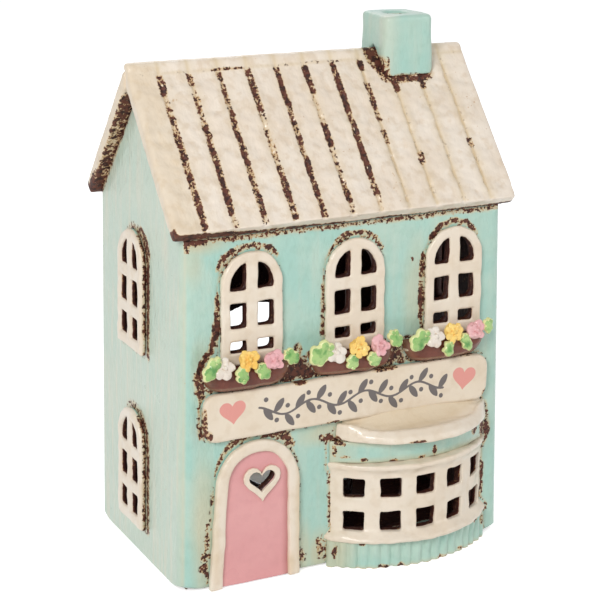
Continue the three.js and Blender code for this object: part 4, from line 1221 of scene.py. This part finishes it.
lattice, points = pressed("bow_panes", ["bow_lattice"], 0.38, 3, "cream_glaze", cream_glaze,
                          (0.36, 4.0, 29.0))
facing = directions(lattice)
from_centre = numpy.hypot(points[:, 0] - bow_middle, points[:, 1] - bow_centre)
pane_rows = (points[:, 2] > 12.0) & (points[:, 2] < 33.0)
inward = ((points[:, :2] - [bow_middle, bow_centre]) * facing[:, :2]).sum(1) < -0.5 * from_centre
within = numpy.clip((bow_radius - from_centre - 0.5) / 0.8, 0, 1) * pane_rows
paint(lattice, "within", numpy.where(inward & (from_centre < bow_radius), 1, within))
chips = spots(points, [
    (-6.6, 22.0, 0.5, 8.0, 0.62), (-6.4, 14.0, 0.6, 1.6, 0.8), (51.6, 26.0, 0.5, 2.6, 0.9),
])
paint(lattice, "break", numpy.maximum(near(points, wall_nodes, 1.0) * 0.6, chips))
paint_relief(lattice, 4, 1.2)

band, points = pressed("bow_frieze", ["bow_band"], 0.4, 3, "mint_glaze", mint_glaze, (0.3, 7.0, 31.0))
chips = spots(points, [
    (-5.4, 40.5, 0.7, 2.2, 0.8), (-4.0, 42.8, 1.6, 0.8, 1.0), (-2.6, 38.4, 1.6, 0.6, 0.5),
    (3.0, 37.4, 1.0, 0.7, 0.8), (12.4, 36.7, 1.3, 0.5, 0.9), (22.0, 36.9, 1.6, 0.5, 0.9),
    (27.0, 38.0, 0.7, 1.6, 0.9), (34.5, 43.2, 3.4, 0.6, 0.9), (43.0, 42.8, 1.6, 1.2, 1.0),
    (45.0, 40.6, 1.2, 1.6, 1.0), (49.8, 40.0, 1.2, 3.4, 1.0), (16.0, 43.2, 5.0, 0.5, 0.7),
])
paint(band, "break", numpy.maximum(chips, near(points, wall_nodes, 1.4) * 0.75))
paint(band, "haze", numpy.maximum(near(points, ["bow_lattice", "bow_canopy"], 2.4) * 0.9,
                                  numpy.clip((2.0 - points[:, 0]) / 8.0, 0, 1) * 0.8))
paint_relief(band, 4, 1.2)

back_rise = 1.5  # the back edge is pressed up against the sign
rise_start = -43.5
rise_length = 4.0
canopy, points = pressed("bow_roof", ["bow_canopy"], 0.4, 4, "cream_glaze", cream_glaze, (0.4, 8.0, 37.0))
low = box_mm("bow_canopy")[0]
rise_share = numpy.clip((points[:, 1] - rise_start) / rise_length, 0, 1)
points[:, 2] += back_rise * rise_share * (points[:, 2] > low[2] + 3.0)
move_to(canopy, points)
chips = spots(points, [(17.0, low[2] + 1.2, 2.4, 0.35, 0.9), (-4.4, low[2] + 1.0, 0.8, 0.8, 0.7)])
paint(canopy, "break", numpy.maximum(near(points, ["bow_band"] + wall_nodes, 1.0) * 0.6, chips))
from_rim = numpy.hypot(points[:, 0] - bow_middle, points[:, 1] - bow_centre)
# Tan in the canopy's dished top: the glaze's own colour, with painted shade of the hollow.
dish = numpy.clip((bow_radius + 0.5 - from_rim) / 3.5, 0, 1) * (directions(canopy)[:, 2] > 0.3)
paint(canopy, "haze", dish * 0.75)
paint_relief(canopy, 5, 1.2)
print("Bow window:", len(plinth.data.polygons) + len(lattice.data.polygons), "faces in plinth and lattice")

# %% [markdown]
# ## Flower boxes
# Three boat-shaped boxes under the windows, dark reddish brown, with an orange line where the glaze is thin
# on their edges, and a few cream spills from the flowers above.

# %% Flower boxes
for k, node in enumerate(boxes):
    box, points = pressed(node.replace("box", "trough"), [node], 0.34, 4, "brown_glaze", brown_glaze,
                          (0.4, 4.5, 41.0 + k))
    low, high = box_mm(node)
    middle = (low[0] + high[0]) / 2
    drips = [(middle - 14.2, low[2] + 4.2, 0.5, 0.5, 1.0), (middle + 13.6, low[2] + 5.4, 0.5, 0.4, 1.0),
             (middle + 14.4, low[2] + 2.6, 0.45, 0.45, 1.0)]
    paint(box, "spill", spots(points, drips))
    along_edge = numpy.clip(1 - numpy.abs(points[:, 2] - low[2] - 1.0) / 0.7, 0, 1)
    near_end = numpy.clip((numpy.abs(points[:, 0] - middle) - 10.5) / 4, 0, 1)
    paint(box, "haze", numpy.maximum(along_edge * 0.35, near_end * 0.25))
    paint_relief(box, 4, 1.8)
print("Boxes:", len(boxes))

# %% [markdown]
# ## Flowers and leaves
# Each flower is a little rosette, made of petals that were pinched and pressed together. Rings of flattened
# balls round a bud, wrapped in one skin, give the same soft folds, and a strong relief paints them darker:
# pooled glaze, and painted shade in the folds. The leaves are pinched into lobes and pressed flat, so each is
# a few overlapping pats of clay in one skin, with a paler line round them where the glaze runs off the edge.

# %% Blooms
bloom_grown = 1.08  # the petals' soft rims end this much further out than the node
looks_up = math.radians(17)


def pat(mesh, place, turn, sizes):
    """Adds one rounded pat of clay. place and the three half sizes are in mm."""
    shape = Matrix.Diagonal(Vector(sizes) * MM).to_4x4()
    bmesh.ops.create_uvsphere(mesh, u_segments=18, v_segments=10, radius=1.0,
                              matrix=Matrix.Translation(Vector(place) * MM) @ turn @ shape)


def rosette(name, node, material, seed, rings, ruffle):
    """A flower of this node's size, facing the street and a little up, with its petals in these rings."""
    low, high = box_mm(node)
    radius = min(high[0] - low[0], high[2] - low[2]) / 2 * bloom_grown
    mesh = bmesh.new()
    tilt = Matrix.Rotation(math.radians(90) - looks_up, 4, "X")
    heart_place = Vector(((low[0] + high[0]) / 2, low[1] + 2.7, (low[2] + high[2]) / 2))
    for count, reach, long, wide, thick, cup, start in rings:
        for k in range(count):
            swing = 2 * math.pi * (k + start) / count + 0.3 * math.sin(seed + 3 * k)
            size = radius * (1 + 0.13 * math.sin(2 * seed + 5 * k))
            lean = math.radians(cup + 14 * ruffle * math.sin(seed + 2 * k))
            turn = tilt @ Matrix.Rotation(swing, 4, "Z")
            place = heart_place + turn @ Vector((reach * radius, 0, 0.9))
            pat(mesh, place, turn @ Matrix.Rotation(-lean, 4, "Y"), (long * size, wide * size, thick * size))
    pat(mesh, heart_place + tilt @ Vector((0, 0, -0.3)), tilt, (0.80 * radius, 0.80 * radius, 0.45 * radius))
    pat(mesh, heart_place + tilt @ Vector((0, 0, 1.6)), tilt, (0.2 * radius, 0.2 * radius, 0.3 * radius))
    flower = skin(name, mesh_of(mesh, name), 0.17, 2)
    finish_piece(flower, "house", material, [node])
    hand_made(flower, 0.3, 1.5, seed)
    # A strong relief: the folds take the deep colour, for pooled glaze and as painted shade.
    paint_relief(flower, 5, 5.0)


# A ring is (petals, distance out, length, width, thickness, cupping in degrees, start of the first petal)
scalloped = [(5, 0.55, 0.50, 0.46, 0.30, 12, 0.0), (3, 0.22, 0.34, 0.30, 0.26, 35, 0.3)]
ruffled = [(7, 0.62, 0.42, 0.30, 0.20, 18, 0.0), (6, 0.42, 0.36, 0.26, 0.18, 42, 0.5),
           (4, 0.20, 0.28, 0.20, 0.18, 64, 0.2)]
folded = [(5, 0.55, 0.50, 0.42, 0.20, 20, 0.1), (4, 0.32, 0.42, 0.32, 0.17, 48, 0.5),
          (3, 0.14, 0.26, 0.2, 0.2, 68, 0.3)]
flowers = {"white": (white_petal, scalloped, 0.2), "yellow": (yellow_petal, ruffled, 1.0),
           "pink": (pink_petal, folded, 0.4)}
for place, side in enumerate(sides):
    for order, (colour, (material, rings, ruffle)) in enumerate(flowers.items()):
        rosette(f"{side}_{colour}_rosette", f"{side}_{colour}_bloom", material,
                3.0 * place + order, rings, ruffle)
print("Flowers:", len(sides) * len(flowers))

# %% Leaves
end_leaves = [f"{side}_left_leaf" for side in sides]
# A lobe is (along, across, half length, half width), in shares of the leaf's own halves
lobes = [(0.02, 0.0, 0.62, 0.86), (0.52, 0.0, 0.46, 0.62), (0.30, 0.52, 0.38, 0.46),
         (0.30, -0.52, 0.38, 0.46), (-0.40, 0.44, 0.40, 0.50), (-0.40, -0.44, 0.40, 0.50),
         (-0.72, 0.0, 0.28, 0.34)]
leaf_grown = 1.06
end_leaf_grown = 1.16


def lobed_leaf(node, box_middle):
    """Pats of clay along the CAD leaf's own length and width. Its tip points away from the box's middle."""
    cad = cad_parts[node].data
    corners = numpy.array([vertex.co for vertex in cad.vertices]) / MM
    centre = (corners.min(0) + corners.max(0)) / 2
    flat = corners[:, [0, 2]] - centre[[0, 2]]
    axes = numpy.linalg.eigh(numpy.cov(flat.T))[1]
    length_way = axes[:, 1] * (1 if axes[0, 1] * (centre[0] - box_middle) >= 0 else -1)
    grown = end_leaf_grown if node in end_leaves else leaf_grown
    half_long = numpy.abs(flat @ length_way).max() * grown
    half_wide = numpy.abs(flat @ axes[:, 0]).max() * grown
    turn = Matrix.Rotation(-math.atan2(length_way[1], length_way[0]), 4, "Y")
    mesh = bmesh.new()
    for along, across, long, wide in lobes:
        place = Vector(centre) + turn @ Vector((along * half_long, -0.3 * (across == 0), across * half_wide))
        pat(mesh, place, turn, (long * half_long, 1.25, wide * half_wide))
    leaf = skin(node.replace("leaf", "blade"), mesh_of(mesh, node), 0.18, 1)
    finish_piece(leaf, "house", leaf_glaze, [node])
    points = coordinates(leaf)
    flat = points[:, [0, 2]] - centre[[0, 2]]
    along, across = flat @ length_way / half_long, flat @ axes[:, 0] / half_wide
    in_lobes = [1 - numpy.hypot((along - a) / long, (across - c) / wide) for a, c, long, wide in lobes]
    inside = numpy.max(in_lobes, 0)
    groove = numpy.clip(1 - numpy.abs(across) / 0.12, 0, 1) * numpy.clip(1.1 - numpy.abs(along), 0, 1)
    points[:, 1] += numpy.where(directions(leaf)[:, 1] < -0.2, 0.12 * groove, 0)
    move_to(leaf, points)
    hand_made(leaf, 0.3, 2.0, points[0, 0])
    paint(leaf, "rim", 0.5 + 1.4 * (0.30 - inside))
    paint_relief(leaf, 5, 4.0)


leaves = sorted(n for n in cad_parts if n.endswith("_leaf"))
for node in leaves:
    low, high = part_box(node.split("_")[0] + "_box")
    lobed_leaf(node, (low.x + high.x) / 2 / MM)
print("Leaves:", len(leaves))

# %% [markdown]
# ## Floor of the house
# The floor slab carries the tealight. Its top is dark with the same glaze as the inside, and its underside
# is raw clay, because glaze there would stick to the kiln shelf.

# %% Floor slab
ground = clay("house_floor", ["floor_slab"], 0.9, 3, mint_glaze)
points = coordinates(ground)
paint(ground, "within", points[:, 2] > 1.0)
paint(ground, "bare", points[:, 2] < 0.6)

# %% [markdown]
# ## Tealight
# The candle is an aluminium cup with a fluted side and a rolled rim, wax with a dip round the wick, the wick,
# and a tin foot that holds it up. Each is round, so each is an outline turned about the middle. The cup's
# flutes and the wick's twist are added to the turned radius as they go round.

# %% Turned pieces
candle_low, candle_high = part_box("tealight_cup")
candle_x = (candle_low.x + candle_high.x) / 2 / MM
candle_y = (candle_low.y + candle_high.y) / 2 / MM


def turned(name, outline, steps, material, nodes, swell=lambda angle, radius, height: 0.0):
    """An outline of (radius, height) in mm, closed on the axis, turned about the candle's middle."""
    mesh = bmesh.new()
    rings = []
    for radius, height in outline:
        if radius == 0:
            rings.append([mesh.verts.new(Vector((candle_x, candle_y, height)) * MM)])
            continue
        ring = []
        for k in range(steps):
            angle = 2 * math.pi * k / steps
            wide = radius + swell(angle, radius, height)
            ring.append(mesh.verts.new(Vector(
                (candle_x + wide * math.cos(angle), candle_y + wide * math.sin(angle), height)) * MM))
        rings.append(ring)
    for first, second in zip(rings, rings[1:]):
        for k in range(steps):
            n = (k + 1) % steps
            corners = [first[k % len(first)], first[n % len(first)]]
            corners += [second[n % len(second)], second[k % len(second)]]
            mesh.faces.new(list(dict.fromkeys(corners)))
    bmesh.ops.recalc_face_normals(mesh, faces=mesh.faces)
    finish_piece(add_object(name, mesh_of(mesh, name)), "tealight", material, nodes)


def simple(name, colour, other, size, rough, rougher, metal=0.0, bump_size=1.0, bump=0.2):
    """A finish of two colours that mottle into each other, with its own roughness and grain."""
    material, tree, shader = new_material(name)
    patches = ease(tree, grain(tree, size, 3.0), 0.35, 0.65)
    worn = ease(tree, grain(tree, size * 0.7, 2.0), 0.3, 0.7, rough, rougher)
    tree.links.new(mixed(tree, patches, colour, other), shader.inputs["Base Color"])
    tree.links.new(worn, shader.inputs["Roughness"])
    shader.inputs["Metallic"].default_value = metal
    raise_surface(tree, shader, grain(tree, bump_size, 2.0), bump, 0.3)
    return material


# %% Tealight
cup_foot = candle_low.z / MM
cup_top = candle_high.z / MM
cup_radius = (candle_high.x - candle_low.x) / 2 / MM
wax_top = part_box("tealight_wax")[1].z / MM
wick_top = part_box("tealight_wick")[1].z / MM
foil_metal = simple("foil_metal", linear(178, 180, 183), linear(160, 162, 166), 6.0, 0.22, 0.38, metal=1.0,
                    bump_size=3.0, bump=0.15)
tin_metal = simple("tin_metal", linear(176, 178, 180), linear(158, 160, 164), 3.0, 0.3, 0.5, metal=1.0)
paraffin = simple("paraffin_wax", linear(240, 236, 224), linear(232, 226, 210), 5.0, 0.35, 0.5,
                  bump_size=6.0, bump=0.25)
wax_shader = paraffin.node_tree.nodes["Principled BSDF"]
wax_shader.inputs["Subsurface Weight"].default_value = 0.3
wax_shader.inputs["Subsurface Scale"].default_value = 3 * MM
wick_cotton = simple("wick_cotton", linear(228, 222, 206), linear(200, 190, 168), 0.6, 0.8, 0.95,
                     bump_size=0.3, bump=0.8)

rim_reach = 0.55
side_radius = cup_radius - rim_reach
flute_count = 60
flute_depth = 0.22


def flute(angle, radius, height):
    """Shallow flutes on the cup's upright side, none on its rim or foot."""
    upright = max(0.0, min(1.0, (height - cup_foot - 1.0) / 1.5, (cup_top - height - 1.2) / 1.5))
    if radius <= side_radius - 1.2:
        return 0.0
    return -flute_depth * upright * (0.5 + 0.5 * math.cos(flute_count * angle))


side_heights = [cup_foot + 1.2 + (cup_top - cup_foot - 2.6) * k / 8 for k in range(9)]
cup_outline = [(0, cup_foot + 0.35), (13.0, cup_foot + 0.3), (15.5, cup_foot), (cup_radius - 1.3, cup_foot),
               (cup_radius - 0.75, cup_foot + 0.5)]
cup_outline += [(side_radius, height) for height in side_heights]
cup_outline += [(cup_radius - 0.1, cup_top - 0.7), (cup_radius, cup_top - 0.35), (cup_radius - 0.25, cup_top),
                (cup_radius - 0.6, cup_top - 0.3)]
cup_outline += [(side_radius - 0.2, height) for height in reversed(side_heights)]
cup_outline += [(cup_radius - 1.4, cup_foot + 0.8), (13.0, cup_foot + 0.55), (0, cup_foot + 0.55)]
turned("candle_cup", cup_outline, 240, foil_metal, ["tealight_cup"], flute)

wax_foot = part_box("tealight_wax")[0].z / MM + 0.1
wax_radius = side_radius - 0.5
wax_outline = [(0, wax_foot), (wax_radius - 0.6, wax_foot), (wax_radius - 0.1, wax_foot + 0.8),
               (wax_radius - 0.1, wax_top - 0.7), (wax_radius, wax_top), (wax_radius - 0.7, wax_top - 0.25),
               (wax_radius - 3, wax_top - 0.5), (9, wax_top - 0.6), (4, wax_top - 0.75), (1.6, wax_top - 0.6),
               (0.9, wax_top - 0.1), (0, wax_top - 0.05)]
turned("candle_wax", wax_outline, 96, paraffin, ["tealight_wax"])

sustainer_low, sustainer_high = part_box("wick_sustainer")
tin_radius = (sustainer_high.x - sustainer_low.x) / 2 / MM
tin_foot, tin_top = sustainer_low.z / MM, sustainer_high.z / MM
tin_outline = [(0, tin_foot), (tin_radius - 0.3, tin_foot), (tin_radius, tin_foot + 0.15),
               (tin_radius - 0.3, tin_foot + 0.3), (2.2, tin_foot + 0.35), (1.3, tin_foot + 0.9),
               (1.05, tin_foot + 1.8), (1.0, tin_top - 0.1), (0.75, tin_top), (0, tin_top - 0.1)]
turned("wick_foot", tin_outline, 48, tin_metal, ["wick_sustainer"])

wick_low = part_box("tealight_wick")[0].z / MM
wick_outline = [(0, wick_low)] + [(0.5, wick_low + (wick_top - wick_low - 0.2) * k / 60) for k in range(61)]
wick_outline += [(0.34, wick_top - 0.05), (0, wick_top)]
turned("candle_wick", wick_outline, 16, wick_cotton, ["tealight_wick"],
       lambda angle, radius, height: 0.07 * math.sin(2 * angle + height * 4.0))
print("Candle from", round(cup_foot, 1), "to", round(wick_top, 1), "mm")

# %% [markdown]
# ## Floor of the studio
# The photograph has no visible ground, only white. A white sheet under the house gives the same, and it
# keeps the soft shadow that ties the house to the ground. To the camera it shines as white as the world
# behind it, except where the house shades it.

# %% Studio floor
sweep = bmesh.new()
bmesh.ops.create_grid(sweep, x_segments=8, y_segments=8, size=3.0)
studio_floor = add_object("studio_floor", mesh_of(sweep, "studio_floor"))
paper_glow = 0.6
paper, tree, shader = new_material("white_paper")
tree.links.new(mixed(tree, grain(tree, 2.0), linear(244, 244, 244), linear(247, 247, 247)),
               shader.inputs["Base Color"])
shader.inputs["Roughness"].default_value = 0.9
shader.inputs["Specular IOR Level"].default_value = 0.1
rays = tree.nodes.new("ShaderNodeLightPath")
seen = maths(tree, "MAXIMUM", rays.outputs["Is Camera Ray"], rays.outputs["Is Glossy Ray"])
tree.links.new(times(tree, seen, paper_glow), shader.inputs["Emission Strength"])
shader.inputs["Emission Color"].default_value = (1, 1, 1, 1)
studio_floor.data.materials.append(paper)
